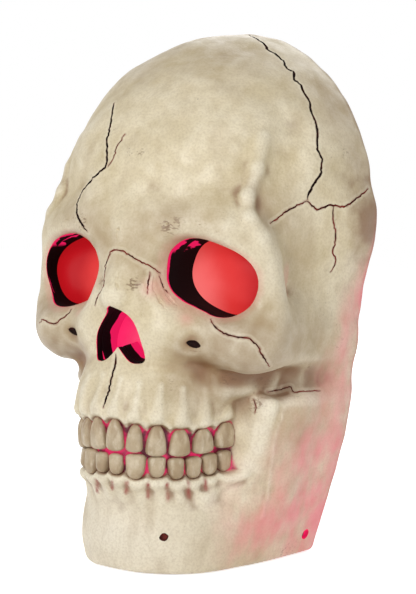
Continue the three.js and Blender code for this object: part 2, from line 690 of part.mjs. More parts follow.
// The place at a distance along the dental arch from its front, with the way out of the arch
function archPlace(distance, z) {
  const halfWidth = sizeAt(ARCH_HALF_WIDTH, z);
  const depth = sizeAt(ARCH_DEPTH, z);
  const step = 0.002;
  let angle = 0;
  let travelled = 0;
  while (travelled < distance && angle < Math.PI / 2) {
    travelled += step * Math.hypot(halfWidth * Math.cos(angle), depth * Math.sin(angle));
    angle += step;
  }
  const rest = Math.max(distance - travelled, 0);
  const x = halfWidth * Math.sin(angle);
  const y = ARCH.centreY - depth * Math.cos(angle) + rest;
  return { x, y, turn: Math.atan2(Math.sin(angle) / halfWidth, Math.cos(angle) / depth) };
}

function toothRow(teeth, taper) {
  const row = [];
  let distance = TOOTH_GAP / 2;
  for (const [width, low, high] of teeth) {
    const middle = (low + high) / 2;
    const { x, y, turn } = archPlace(distance + width / 2, middle);
    const back = TOOTH_DEPTH / 2 - TOOTH_PROUD;
    for (const [, side] of sides) {
      const tooth = toothSolid(width, low, high, taper).rotateZ(side * turn);
      const placed = tooth.translate(side * (x - back * Math.sin(turn)), y + back * Math.cos(turn), middle);
      row.push(solid(placed));
    }
    distance += width + TOOTH_GAP;
  }
  return join(...row);
}

function skullShell() {
  const bossFront = PANEL_INNER - FIT - BOSS_LENGTH;
  const bosses = bossPlaces.map(([x, z]) => barAlongY(x, z, BOSS_RADIUS, bossFront, PANEL_INNER - FIT));
  const pilotFront = PANEL_OUTER - PANEL_SCREW_LENGTH - 2 * PAST;
  const pilotRadius = SCREW_RADIUS + PILOT_CLEARANCE;
  const pilots = bossPlaces.map(([x, z]) => barAlongY(x, z, pilotRadius, pilotFront, 0));
  const teeth = toothRow(UPPER_TEETH, -TOOTH_TAPER).add(toothRow(LOWER_TEETH, TOOTH_TAPER));
  const toothed = outerSolid.add(teeth.subtract(innerSolid));
  const eyes = sides.map(([, side]) => {
    const pocketBack = EYE_LINER_BACK + FIT;
    const pocketDepth = slice(EYE_POCKET_FRONT - FIT, pocketBack);
    const pocket = eyeFunnel(side, LINER_LAP + LINER_WALL + FIT, pocketBack).intersect(pocketDepth);
    const mouth = prism(eyeOutline(side, 0), SKULL_FRONT, EYE_MOUTH_Y);
    return join(mouth, eyeFunnel(side, 0, EYE_CUT_BACK), pocket);
  });
  const nose = prism(noseOutline(0), SKULL_FRONT, NOSE_LINER_BACK);
  const tieHole = barAlongX(TIE_HOLE_Y, TIE_HOLE_Z, TIE_HOLE_RADIUS, -SKULL_REACH, SKULL_REACH);
  const hollow = toothed.subtract(innerSolid.subtract(join(...bosses)));
  const bodies = hollow.subtract(join(...eyes, nose, tieHole, ...pilots)).decompose();
  return bodies.reduce((one, other) => (one.volume() > other.volume() ? one : other));
}

addMesh('skull_shell', geometryOf(skullShell()), BONE);

// Eye liners: black sleeves from the opening back to a ledge, and the red lens that lies on the ledge
const LENS_BACK = EYE_LINER_BACK - LEDGE_THICK - FIT;

function eyeLiner(side) {
  const sleeve = eyeFunnel(side, LINER_LAP + LINER_WALL).subtract(eyeFunnel(side, LINER_LAP));
  const lap = eyeOutline(side, LINER_LAP + LINER_WALL / 2, EYE_TAPER);
  const lip = eyeOutline(side, LINER_LAP - LEDGE_WIDTH, EYE_TAPER);
  const ledge = prism(lap, EYE_LINER_BACK - LEDGE_THICK, EYE_LINER_BACK, lip);
  return sleeve.intersect(seatSolid.add(slice(EYE_POCKET_FRONT, EYE_LINER_BACK))).add(ledge);
}

function eyeLens(side) {
  const outline = eyeOutline(side, LINER_LAP - FIT, EYE_TAPER);
  const centre = new THREE.Vector2(side * EYE_X, EYE_Z);
  const ring = (share, y) => outline.map((p) => {
    const spot = centre.clone().lerp(p, share);
    return new THREE.Vector3(spot.x, y - LENS_DOME * (1 - share * share), spot.y);
  });
  const shares = [0.35, 0.7, 1];
  const back = shares.map((share) => ring(share, LENS_BACK));
  const front = shares.map((share) => ring(share, LENS_BACK - LENS_THICK)).reverse();
  return loft([...back, ...front]);
}

for (const [word, side] of sides) {
  addMesh(`eye_liner_${word}`, geometryOf(eyeLiner(side)), BLACK);
  addMesh(`eye_lens_${word}`, geometryOf(solid(eyeLens(side))), RED_LENS);
}

// Nose liner: a black funnel that narrows towards the back, closed by a magenta pane on its ledge
const NOSE_PANE_BACK = NOSE_LINER_BACK - LEDGE_THICK - FIT;

function noseLiner() {
  const depth = slice(NOSE_LINER_FRONT, NOSE_LINER_BACK);
  const sleeve = noseFunnel(LINER_LAP + LINER_WALL).subtract(noseFunnel(LINER_LAP)).intersect(depth);
  const lip = noseOutline(LINER_LAP - LEDGE_WIDTH / 2, NOSE_TAPER);
  const lap = noseOutline(LINER_LAP + LINER_WALL / 2, NOSE_TAPER);
  const ledge = prism(lap, NOSE_LINER_BACK - LEDGE_THICK, NOSE_LINER_BACK, lip);
  return sleeve.intersect(seatSolid).add(ledge);
}

addMesh('nose_liner', geometryOf(noseLiner()), BLACK);
const paneOutline = noseOutline(LINER_LAP - FIT, NOSE_TAPER);
const nosePane = prism(paneOutline, NOSE_PANE_BACK - NOSE_PANE_THICK, NOSE_PANE_BACK);
addMesh('nose_pane', geometryOf(nosePane), MAGENTA);

// Back panel: follows the inside of the rim, with the battery window, hinge knuckles, keyhole,
// switch slot and the posts that the tray is screwed to
const knuckleGap = DOOR_KNUCKLE_LENGTH / 2 + FIT;
const earHeights = [MODULE_Z - EAR_RISE, MODULE_Z + EAR_RISE];
const trayScrewPlaces = sides.flatMap(([, side]) => earHeights.map((z) => [side * EAR_X, z]));

function hingeKnuckle(xLeft, xRight) {
  return barAlongX(HINGE_Y, HINGE_Z, HINGE_RADIUS, xLeft, xRight);
}

function backPanel() {
  const clearance = WALL + PANEL_GAP;
  const slab = boxBetween([-SKULL_REACH, PANEL_INNER, clearance], [SKULL_REACH, PANEL_OUTER, SKULL_TOP]);
  const plate = slab.intersect(cavitySolid(clearance, 0));
  const posts = trayScrewPlaces.map(([x, z]) => {
    return barAlongY(x, z, POST_RADIUS, EAR_BACK + FIT, PANEL_INNER + ROOT);
  });
  const knuckles = sides.map(([, side]) => {
    const ends = [side * knuckleGap, side * (knuckleGap + PANEL_KNUCKLE_LENGTH)].sort((a, b) => a - b);
    const foot = boxBetween([ends[0], PANEL_OUTER - ROOT, HINGE_Z - HINGE_RADIUS],
      [ends[1], HINGE_Y, HINGE_Z + HINGE_RADIUS]);
    return hingeKnuckle(...ends).add(foot);
  });
  const window = boxBetween([-BAY_HALF_WIDTH, PANEL_INNER - PAST, BAY_LOW],
    [BAY_HALF_WIDTH, PANEL_OUTER + PAST, BAY_HIGH]);
  const screwHoles = bossPlaces.map(([x, z]) => {
    return barAlongY(x, z, SCREW_RADIUS + SCREW_CLEARANCE, PANEL_INNER - PAST, PANEL_OUTER + PAST, 16);
  });
  const pilots = trayScrewPlaces.map(([x, z]) => {
    return barAlongY(x, z, SCREW_RADIUS + PILOT_CLEARANCE, EAR_BACK, PANEL_INNER);
  });
  const keyhole = barAlongY(0, KEYHOLE_Z, KEYHOLE_RADIUS, PANEL_INNER - PAST, PANEL_OUTER + PAST, 24);
  const slotTop = KEYHOLE_Z + KEYHOLE_RISE;
  const keySlot = boxBetween([-KEYHOLE_SLOT / 2, PANEL_INNER - PAST, KEYHOLE_Z],
    [KEYHOLE_SLOT / 2, PANEL_OUTER + PAST, slotTop]);
  const keyEnd = barAlongY(0, slotTop, KEYHOLE_SLOT / 2, PANEL_INNER - PAST, PANEL_OUTER + PAST, 16);
  const slotHalf = KNOB_LENGTH / 2 + FIT;
  const switchSlot = boxBetween(
    [SWITCH_X - KNOB_WIDTH / 2 - FIT, PANEL_INNER - PAST, MODULE_Z - SWITCH_TRAVEL / 2 - slotHalf],
    [SWITCH_X + KNOB_WIDTH / 2 + FIT, PANEL_OUTER + PAST, MODULE_Z + SWITCH_TRAVEL / 2 + slotHalf]);
  const pinBore = barAlongX(HINGE_Y, HINGE_Z, HINGE_PIN_RADIUS + FIT, -SKULL_REACH, SKULL_REACH);
  const cuts = join(window, ...screwHoles, ...pilots, keyhole, keySlot, keyEnd, switchSlot);
  return plate.add(join(...posts)).subtract(cuts).add(join(...knuckles)).subtract(pinBore);
}

addMesh('back_panel', geometryOf(backPanel()), PANEL_GREY);

// Screws: pan heads. The head's underside is at the origin, the shank goes to -Y.
function screw(length) {
  const shank = SCREW_RADIUS;
  const head = SCREW_HEAD_RADIUS;
  const crown = SCREW_HEAD_HEIGHT;
  const profile = [[0, -length], [shank, -length + shank], [shank, 0], [head, 0], [head, crown * 0.5],
    [head * 0.7, crown], [0, crown]];
  return new THREE.LatheGeometry(profile.map(([x, y]) => new THREE.Vector2(x, y)), 8);
}

// The cross recess of the screws that a screwdriver reaches from outside
function crossScrew(length) {
  const arm = SCREW_HEAD_RADIUS * 0.55;
  const half = SCREW_HEAD_RADIUS * 0.12;
  const floor = SCREW_HEAD_HEIGHT * 0.45;
  const top = SCREW_HEAD_HEIGHT + PAST;
  const across = boxBetween([-arm, floor, -half], [arm, top, half]);
  const upright = boxBetween([-half, floor, -arm], [half, top, arm]);
  return geometryOf(solid(screw(length)).subtract(across.add(upright)));
}

bossPlaces.forEach(([x, z], i) => {
  addMesh(`panel_screw_${i + 1}`, crossScrew(PANEL_SCREW_LENGTH), STEEL, [x, PANEL_OUTER + FIT, z]);
});

// Battery door: a plate that fills the window and turns on the pin below it
function batteryDoor() {
  const halfWidth = BAY_HALF_WIDTH - FIT;
  const plateInner = PANEL_OUTER - DOOR_THICK;
  const plate = boxBetween([-halfWidth, plateInner, BAY_LOW + FIT], [halfWidth, PANEL_OUTER, BAY_HIGH - FIT]);
  const half = DOOR_KNUCKLE_LENGTH / 2;
  const leafInner = PANEL_OUTER + FIT;
  const leafTop = BAY_LOW + HINGE_LEAF_REACH;
  const leaf = boxBetween([-half, leafInner, HINGE_Z], [half, HINGE_Y, leafTop]);
  const foot = boxBetween([-half, PANEL_OUTER - ROOT, BAY_LOW + 3 * FIT], [half, HINGE_Y, leafTop]);
  const notchFloor = PANEL_OUTER - DOOR_THICK / 2;
  const notch = barAlongY(0, BAY_HIGH - FIT, THUMB_NOTCH_RADIUS, notchFloor, PANEL_OUTER + PAST, 24);
  const bore = barAlongX(HINGE_Y, HINGE_Z, HINGE_PIN_RADIUS + FIT, -half - PAST, half + PAST);
  return join(plate.subtract(notch), leaf, foot, hingeKnuckle(-half, half)).subtract(bore);
}

addMesh('battery_door', geometryOf(batteryDoor()), PANEL_GREY);
const pinEnd = knuckleGap + PANEL_KNUCKLE_LENGTH;
addMesh('hinge_pin', geometryOf(barAlongX(HINGE_Y, HINGE_Z, HINGE_PIN_RADIUS, -pinEnd, pinEnd)), STEEL);

// Battery tray: a box open to the back, with ears on the panel's posts and posts for the lamp
const lampScrewPlaces = [-1, 1].map((side) => [0, MODULE_Z + side * LAMP_EAR_Z]);

function batteryTray() {
  const outside = boxBetween([-TRAY_HALF_WIDTH, TRAY_FRONT, BAY_LOW - TRAY_WALL],
    [TRAY_HALF_WIDTH, TRAY_BACK, BAY_HIGH + TRAY_WALL]);
  const bay = boxBetween([-BAY_HALF_WIDTH, TRAY_FLOOR, BAY_LOW],
    [BAY_HALF_WIDTH, TRAY_BACK + PAST, BAY_HIGH]);
  const ears = trayScrewPlaces.map(([x, z]) => {
    const edge = Math.sign(x) * (TRAY_HALF_WIDTH - TRAY_WALL / 2);
    const web = boxBetween([Math.min(x, edge), EAR_BACK - EAR_THICK, z - POST_RADIUS],
      [Math.max(x, edge), EAR_BACK, z + POST_RADIUS]);
    return web.add(barAlongY(x, z, POST_RADIUS, EAR_BACK - EAR_THICK, EAR_BACK));
  });
  const earHoles = trayScrewPlaces.map(([x, z]) => {
    return barAlongY(x, z, SCREW_RADIUS + SCREW_CLEARANCE, EAR_BACK - EAR_THICK - PAST, EAR_BACK + PAST);
  });
  const postFront = TRAY_FRONT - LAMP_POST_LENGTH;
  const posts = lampScrewPlaces.map(([x, z]) => barAlongY(x, z, POST_RADIUS, postFront, TRAY_FRONT + ROOT));
  const pilots = lampScrewPlaces.map(([x, z]) => {
    return barAlongY(x, z, SCREW_RADIUS + PILOT_CLEARANCE, postFront - PAST, TRAY_FRONT);
  });
  return join(outside.subtract(bay), ...ears, ...posts).subtract(join(...earHoles, ...pilots));
}

addMesh('battery_tray', geometryOf(batteryTray()), BLACK);
trayScrewPlaces.forEach(([x, z], i) => {
  const seat = EAR_BACK - EAR_THICK - FIT;
  addMesh(`tray_screw_${i + 1}`, screw(TRAY_SCREW_LENGTH), STEEL, [x, seat, z], [Math.PI, 0, 0]);
});

// Cells lie side by side, turned end for end in turn, each between a contact plate and a spring
function cell() {
  const shoulder = CELL_LENGTH - CELL_NUB_LENGTH;
  const profile = [[0, 0], [CELL_RADIUS, 0], [CELL_RADIUS, shoulder], [CELL_NUB_RADIUS, shoulder],
    [CELL_NUB_RADIUS, CELL_LENGTH], [0, CELL_LENGTH]];
  return new THREE.LatheGeometry(profile.map(([x, y]) => new THREE.Vector2(x, y)), 16);
}

class ConeCoil extends THREE.Curve {
  getPoint(t) {
    const angle = t * SPRING_TURNS * 2 * Math.PI;
    const radius = THREE.MathUtils.lerp(SPRING_RADIUS, SPRING_TIP_RADIUS, t);
    const rise = SPRING_WIRE + t * (SPRING_LENGTH - 2 * SPRING_WIRE);
    return new THREE.Vector3(radius * Math.cos(angle), rise, radius * Math.sin(angle));
  }
}

function roundSection(radius, count) {
  const angles = Array.from({ length: count }, (_, i) => (i / count) * 2 * Math.PI);
  const point = (angle) => new THREE.Vector2(radius * Math.cos(angle), radius * Math.sin(angle));
  return new THREE.Shape(angles.map(point));
}

function contactSpring() {
  const steps = SPRING_TURNS * 8;
  const coil = new ConeCoil();
  const places = coil.getPoints(steps * 4);
  let gap = Infinity;
  places.forEach((a, i) => places.slice(i + 16).forEach((b) => {
    gap = Math.min(gap, a.distanceTo(b) - 2 * SPRING_WIRE);
  }));
  console.log(`least gap between turns of a contact spring: ${gap.toFixed(2)} mm`);
  const section = roundSection(SPRING_WIRE, 5);
  return new THREE.ExtrudeGeometry(section, { steps, extrudePath: coil, bevelEnabled: false });
}

const springGeometry = contactSpring();
const upright = [Math.PI / 2, 0, 0];
const inverted = [-Math.PI / 2, 0, 0];
for (let i = 0; i < CELL_COUNT; i += 1) {
  const x = (i - (CELL_COUNT - 1) / 2) * CELL_PITCH;
  const nubUp = i % 2 === 0;
  const toward = nubUp ? 1 : -1;
  const springEnd = nubUp ? BAY_LOW : BAY_HIGH;
  const plateEnd = nubUp ? BAY_HIGH : BAY_LOW;
  const springSeat = springEnd + toward * FIT / 2;
  const cellStart = springSeat + toward * (SPRING_LENGTH + FIT);
  const plateMiddle = plateEnd - toward * (FIT / 2 + PLATE_THICK / 2);
  const turn = nubUp ? upright : inverted;
  addMesh(`cell_${i + 1}`, cell(), CELL_SKIN, [x, CELL_Y, cellStart], turn);
  addMesh(`contact_spring_${i + 1}`, springGeometry, STEEL, [x, CELL_Y, springSeat], turn);
  const plate = new THREE.BoxGeometry(PLATE_WIDTH, PLATE_WIDTH, PLATE_THICK);
  addMesh(`contact_plate_${i + 1}`, plate, STEEL, [x, CELL_Y, plateMiddle]);
}

// Lamp: a cup on the tray's posts, the board on the cup's ledge, its LEDs and a red dome over them
function lampBase() {
  const ledge = LAMP_FRONT + BOARD_RECESS;
  const rim = LAMP_RADIUS - LAMP_WALL;
  const floor = LAMP_BACK - LAMP_WALL;
  const profile = [[0, floor], [rim - LAMP_WALL, floor], [rim - LAMP_WALL, ledge], [rim, ledge],
    [rim, LAMP_FRONT], [LAMP_RADIUS, LAMP_FRONT], [LAMP_RADIUS, LAMP_BACK], [0, LAMP_BACK]];
  const lathe = new THREE.LatheGeometry(profile.map(([x, y]) => new THREE.Vector2(x, y)), 24);
  const cup = solid(lathe.translate(0, 0, MODULE_Z));
  const earBack = TRAY_FRONT - LAMP_POST_LENGTH - FIT;
  const ears = lampScrewPlaces.map(([x, z]) => {
    const edge = MODULE_Z + Math.sign(z - MODULE_Z) * (LAMP_RADIUS - LAMP_WALL / 2);
    const web = boxBetween([x - POST_RADIUS, earBack - EAR_THICK, Math.min(z, edge)],
      [x + POST_RADIUS, earBack, Math.max(z, edge)]);
    return web.add(barAlongY(x, z, POST_RADIUS, earBack - EAR_THICK, earBack));
  });
  const holes = lampScrewPlaces.map(([x, z]) => {
    return barAlongY(x, z, SCREW_RADIUS + SCREW_CLEARANCE, earBack - EAR_THICK - PAST, earBack + PAST);
  });
  return join(cup, ...ears).subtract(join(...holes));
}

addMesh('lamp_base', geometryOf(lampBase()), BLACK);
lampScrewPlaces.forEach(([x, z], i) => {
  const seat = TRAY_FRONT - LAMP_POST_LENGTH - 2 * FIT - EAR_THICK;
  addMesh(`lamp_screw_${i + 1}`, screw(LAMP_SCREW_LENGTH), STEEL, [x, seat, z], [Math.PI, 0, 0]);
});

const boardRadius = LAMP_RADIUS - LAMP_WALL - FIT;
addMesh('lamp_board', new THREE.CylinderGeometry(boardRadius, boardRadius, BOARD_THICK, 24), BOARD_GREEN,
  [0, (BOARD_BACK + BOARD_FRONT) / 2, MODULE_Z]);

function led() {
  const flange = LED_RADIUS + LED_FLANGE_WIDTH;
  const dome = LED_LENGTH - LED_RADIUS;
  const profile = [[0, 0], [flange, 0], [flange, LED_FLANGE_THICK], [LED_RADIUS, LED_FLANGE_THICK],
    [LED_RADIUS, dome]];
  profile.push([LED_RADIUS * Math.SQRT1_2, dome + LED_RADIUS * Math.SQRT1_2], [0, LED_LENGTH]);
  return new THREE.LatheGeometry(profile.map(([x, y]) => new THREE.Vector2(x, y)), 10);
}

for (let i = 0; i <= LED_RING_COUNT; i += 1) {
  const angle = (i / LED_RING_COUNT) * 2 * Math.PI + Math.PI / 4;
  const radius = i === LED_RING_COUNT ? 0 : LED_RING_RADIUS;
  const place = [radius * Math.cos(angle), BOARD_FRONT - FIT, MODULE_Z + radius * Math.sin(angle)];
  addMesh(`led_${i + 1}`, led(), RED_LENS, place, [Math.PI, 0, 0]);
}

function lampDome() {
  const seat = LAMP_FRONT - FIT;
  const arc = (radius, depth) => [0, 22.5, 45, 67.5, 90].map((angle) => {
    const turn = THREE.MathUtils.degToRad(angle);
    return new THREE.Vector2(angle < 90 ? radius * Math.cos(turn) : 0, seat - depth * Math.sin(turn));
  });
  const outside = arc(LAMP_RADIUS, DOME_DEPTH).reverse();
  const inside = arc(LAMP_RADIUS - DOME_WALL, DOME_DEPTH - DOME_WALL);
  return new THREE.LatheGeometry([...outside, ...inside], 24);
}

addMesh('lamp_dome', geometryOf(solid(lampDome())), RED_LENS, [0, 0, MODULE_Z]);

// Slide switch: the knob reaches through the panel's slot and its flange runs between panel and body
const KNOB_REST = MODULE_Z + SWITCH_TRAVEL / 2;
const FLANGE_FRONT = PANEL_INNER - FIT - SLIDER_FLANGE;

function switchSlider() {
  const flangeHalf = KNOB_LENGTH / 2 + SWITCH_TRAVEL;
  const flange = boxBetween([SWITCH_X - KNOB_WIDTH, FLANGE_FRONT, KNOB_REST - flangeHalf],
    [SWITCH_X + KNOB_WIDTH, PANEL_INNER - FIT, KNOB_REST + flangeHalf]);
  const knob = boxBetween([SWITCH_X - KNOB_WIDTH / 2, PANEL_INNER - 2 * FIT, KNOB_REST - KNOB_LENGTH / 2],
    [SWITCH_X + KNOB_WIDTH / 2, PANEL_OUTER + KNOB_PROUD, KNOB_REST + KNOB_LENGTH / 2]);
  return flange.add(knob);
}

addMesh('switch_slider', geometryOf(switchSlider()), BLACK);
const switchBack = FLANGE_FRONT - FIT;
const switchBody = new THREE.BoxGeometry(SWITCH_BODY_WIDTH, SWITCH_DEPTH, SWITCH_BODY_LENGTH);
addMesh('switch_body', switchBody, STEEL, [SWITCH_X, switchBack - SWITCH_DEPTH / 2, MODULE_Z]);

// Leads between the tray, the switch and the lamp
function lead(points) {
  const route = new THREE.CatmullRomCurve3(points.map((p) => new THREE.Vector3(...p)));
  const steps = points.length * 2;
  const section = roundSection(LEAD_RADIUS, 6);
  return new THREE.ExtrudeGeometry(section, { steps, extrudePath: route, bevelEnabled: false });
}

const switchFront = switchBack - SWITCH_DEPTH - FIT;
const traySide = TRAY_HALF_WIDTH + FIT;
const lampSide = LAMP_RADIUS + FIT;
const lampMiddle = LAMP_BACK - LAMP_DEPTH / 2;
const switchStub = switchFront - LEAD_STUB;
const bendX = SWITCH_X - LEAD_STUB;
const [highZ, lowZ] = [MODULE_Z + TERMINAL_RISE, MODULE_Z - TERMINAL_RISE];
addMesh('lead_tray_to_switch', lead([[traySide, CELL_Y, highZ], [traySide + LEAD_STUB, CELL_Y, highZ],
  [bendX, switchStub - LEAD_STUB / 2, highZ], [SWITCH_X, switchStub, highZ],
  [SWITCH_X, switchFront, highZ]]), LEAD_RED);
addMesh('lead_switch_to_lamp', lead([[SWITCH_X, switchFront, lowZ], [SWITCH_X, switchStub, lowZ],
  [bendX, switchStub - LEAD_STUB, (lowZ + MODULE_Z) / 2], [lampSide + LEAD_STUB, lampMiddle, MODULE_Z],
  [lampSide, lampMiddle, MODULE_Z]]), LEAD_RED);
addMesh('lead_tray_to_lamp', lead([[-traySide, CELL_Y, MODULE_Z], [-traySide - LEAD_STUB, CELL_Y, MODULE_Z],
  [-traySide - LEAD_STUB, (CELL_Y + lampMiddle) / 2, MODULE_Z], [-lampSide - LEAD_STUB, lampMiddle, MODULE_Z],
  [-lampSide, lampMiddle, MODULE_Z]]), LEAD_BLACK);

// Centre the whole over its base
group.updateMatrixWorld(true);
const box = new THREE.Box3().setFromObject(group, true);
group.position.y = -(box.min.y + box.max.y) / 2;

export default group;
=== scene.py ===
# A halloween skull decoration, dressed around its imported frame. Sizes are in millimetres in the mould's own
# place: y is 0 at the rim of the back and grows backwards, z is 0 at the base, and x is 0 between the eyes.
import json
import math

import bmesh
import bpy
import numpy as np
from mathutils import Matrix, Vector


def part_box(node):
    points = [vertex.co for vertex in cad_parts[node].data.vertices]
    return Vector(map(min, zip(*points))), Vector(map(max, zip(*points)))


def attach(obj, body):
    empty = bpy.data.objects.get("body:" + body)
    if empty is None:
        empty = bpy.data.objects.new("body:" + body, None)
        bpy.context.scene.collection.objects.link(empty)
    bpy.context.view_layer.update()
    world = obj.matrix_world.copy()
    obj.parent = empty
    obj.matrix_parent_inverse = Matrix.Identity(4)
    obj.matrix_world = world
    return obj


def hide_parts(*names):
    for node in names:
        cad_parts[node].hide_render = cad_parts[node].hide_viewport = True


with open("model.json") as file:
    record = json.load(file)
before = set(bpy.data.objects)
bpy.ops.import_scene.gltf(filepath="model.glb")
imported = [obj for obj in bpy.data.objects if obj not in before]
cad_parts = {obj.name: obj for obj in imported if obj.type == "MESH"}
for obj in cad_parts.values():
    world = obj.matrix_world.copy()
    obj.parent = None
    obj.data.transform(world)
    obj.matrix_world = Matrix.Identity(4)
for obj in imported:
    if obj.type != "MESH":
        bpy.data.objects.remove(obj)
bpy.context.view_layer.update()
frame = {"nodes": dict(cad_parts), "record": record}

import openvdb
from mathutils import Matrix, Vector, kdtree
from mathutils.bvhtree import BVHTree

scene = bpy.context.scene
scene.view_settings.view_transform = "Standard"

# Camera: a long lens a metre away, a little above the middle of the face and to the right of it. Its
# picture is held slightly turned, as in the photograph.
PHOTO_WIDTH = 416
PHOTO_HEIGHT = 594
FOCAL_PIXELS = 1705
SENSOR = 36
CAMERA_DISTANCE = 1000
CAMERA_AIM = Vector((0, -29.5, 148))
AZIMUTH = math.radians(33.9)
ELEVATION = math.radians(4)
ROLL = math.radians(0.9)
RIM_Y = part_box("skull_shell")[1].y * 1000


def placed(points):
    """Points of the mould in the frame, in metres."""
    return (np.asarray(points, float) + (0, RIM_Y, 0)) / 1000


def direction(azimuth, elevation):
    """The way to a place at an azimuth, counted from the front towards the right, and an elevation."""
    flat = math.cos(elevation)
    return Vector((math.sin(azimuth) * flat, -math.cos(azimuth) * flat, math.sin(elevation)))


towards_camera = direction(AZIMUTH, ELEVATION)
level_right = Vector((math.cos(AZIMUTH), math.sin(AZIMUTH), 0))
level_up = towards_camera.cross(level_right)
camera_right = level_right * math.cos(ROLL) + level_up * math.sin(ROLL)
camera_up = level_up * math.cos(ROLL) - level_right * math.sin(ROLL)
camera_place = Vector(placed(CAMERA_AIM + towards_camera * CAMERA_DISTANCE))
camera_data = bpy.data.cameras.new("camera")
camera_data.sensor_width = SENSOR
camera_data.lens = SENSOR * FOCAL_PIXELS / PHOTO_HEIGHT
camera = bpy.data.objects.new("camera", camera_data)
turned = Matrix((camera_right, camera_up, towards_camera)).transposed().to_4x4()
camera.matrix_world = Matrix.Translation(camera_place) @ turned
scene.collection.objects.link(camera)
scene.camera = camera


# Skull shell: one thin moulding of translucent bone-coloured plastic, with cranium, face, jaw and teeth in
# one. Its master was modelled in clay, so it is built up here as clay on a grid, one form blended into the
# next.
CELL = 1.4
GRID_LOW = (0, -140, -5)
GRID_HIGH = (98, 6, 308)
WALL = 3


def soft_min(first, second, reach):
    """The smaller of two distances, with a fillet where they meet."""
    share = np.clip(0.5 + 0.5 * (second - first) / reach, 0, 1)
    return second + (first - second) * share - reach * share * (1 - share)


def soft_max(first, second, reach):
    return -soft_min(-first, -second, reach)


class Clay:
    """Clay on a grid: the distance to its surface at each point, negative inside. Both sides of the mould are
    alike, so x is never below 0 while it is worked."""

    def __init__(self, form):
        self.axes = [np.arange(low, high, CELL, dtype=np.float32) for low, high in zip(GRID_LOW, GRID_HIGH)]
        self.field = form(*np.ix_(*self.axes)).astype(np.float32)

    def work(self, join, form, blend, box):
        low, high = box or (GRID_LOW, GRID_HIGH)
        window = tuple(
            slice(*np.searchsorted(axis, (start, stop))) for axis, start, stop in zip(self.axes, low, high))
        points = np.ix_(*(axis[part] for axis, part in zip(self.axes, window)))
        self.field[window] = join(self.field[window], form(*points), blend)

    def add(self, form, blend, box=None):
        self.work(soft_min, form, blend, box)

    def cut(self, form, blend, box=None):
        self.work(lambda clay, tool, reach: soft_max(clay, -tool, reach), form, blend, box)


def ball(at, radii):
    """An ellipsoid as a distance."""
    def form(x, y, z):
        offsets = [(value - middle) / radius for value, middle, radius in zip((x, y, z), at, radii)]
        reach = np.sqrt(sum(offset**2 for offset in offsets))
        slope = np.sqrt(sum((offset / radius)**2 for offset, radius in zip(offsets, radii)))
        return reach * (reach - 1) / np.maximum(slope, 1e-6)
    return form


def bar(start, end, start_radius, end_radius):
    """A round bar with round ends, as a distance."""
    axis = np.subtract(end, start)

    def form(x, y, z):
        from_start = [value - origin for value, origin in zip((x, y, z), start)]
        along = sum(value * step for value, step in zip(from_start, axis)) / np.dot(axis, axis)
        along = np.clip(along, 0, 1)
        away = np.sqrt(sum((value - along * step)**2 for value, step in zip(from_start, axis)))
        return away - start_radius - along * (end_radius - start_radius)
    return form


def corner(sides, rounding):
    """Where several half-spaces meet, with a rounded edge."""
    outside = np.sqrt(sum(np.maximum(side + rounding, 0)**2 for side in sides))
    inside = np.minimum(np.maximum.reduce(np.broadcast_arrays(*sides)) + rounding, 0)
    return outside + inside - rounding


def along_height(*stations):
    """A width that follows stations of height and width in a smooth curve."""
    heights, widths = np.array(stations, float).T
    last = len(heights) - 1
    before = np.maximum(np.arange(last + 1) - 1, 0)
    after = np.minimum(np.arange(last + 1) + 1, last)
    slopes = (widths[after] - widths[before]) / (heights[after] - heights[before])

    def width(z):
        step = np.clip(np.searchsorted(heights, z) - 1, 0, last - 1)
        span = heights[step + 1] - heights[step]
        t = np.clip((z - heights[step]) / span, 0, 1)
        ends = widths[step] * (1 + 2 * t) * (1 - t)**2 + widths[step + 1] * t * t * (3 - 2 * t)
        bends = span * t * (1 - t) * (slopes[step] * (1 - t) - slopes[step + 1] * t)
        return (ends + bends).astype(np.float32)
    return width


# Main outlines by height: half the width at the rim, and half the width and the depth of the dental arch.
rim_width = along_height(
    (-30, 44), (0, 52), (30, 62), (60, 71), (100, 79), (140, 80), (165, 81), (190, 86), (216, 93))
arch_width = along_height((-20, 44), (0, 45), (30, 44), (52, 45), (92, 47), (110, 48), (125, 44))
arch_depth = along_height(
    (-20, 50), (0, 52), (14, 57), (34, 56), (52, 64), (70, 69), (92, 71), (108, 65), (125, 57))
ARCH_CENTRE_Y = -58
ARCH_TOP = 125
VAULT_AT = (0, 4, 199)
VAULT_RADII = (92.5, 113, 104)
VAULT_POWER = 2.3
SKIRT_FRONT = -22
SKIRT_TOP = 205
SKIRT_ROUND = 16


def vault(x, y, z):
    """The braincase."""
    across, deep, high = (
        abs(value - at) / radius for value, at, radius in zip((x, y, z), VAULT_AT, VAULT_RADII))
    level = (across**VAULT_POWER + deep**VAULT_POWER)**(1 / VAULT_POWER)
    return (np.hypot(level, high) - 1) * VAULT_RADII[0]


def skirt(x, y, z):
    """The sides of the head along the rim."""
    return corner((x - rim_width(z), SKIRT_FRONT - y, z - SKIRT_TOP), SKIRT_ROUND)


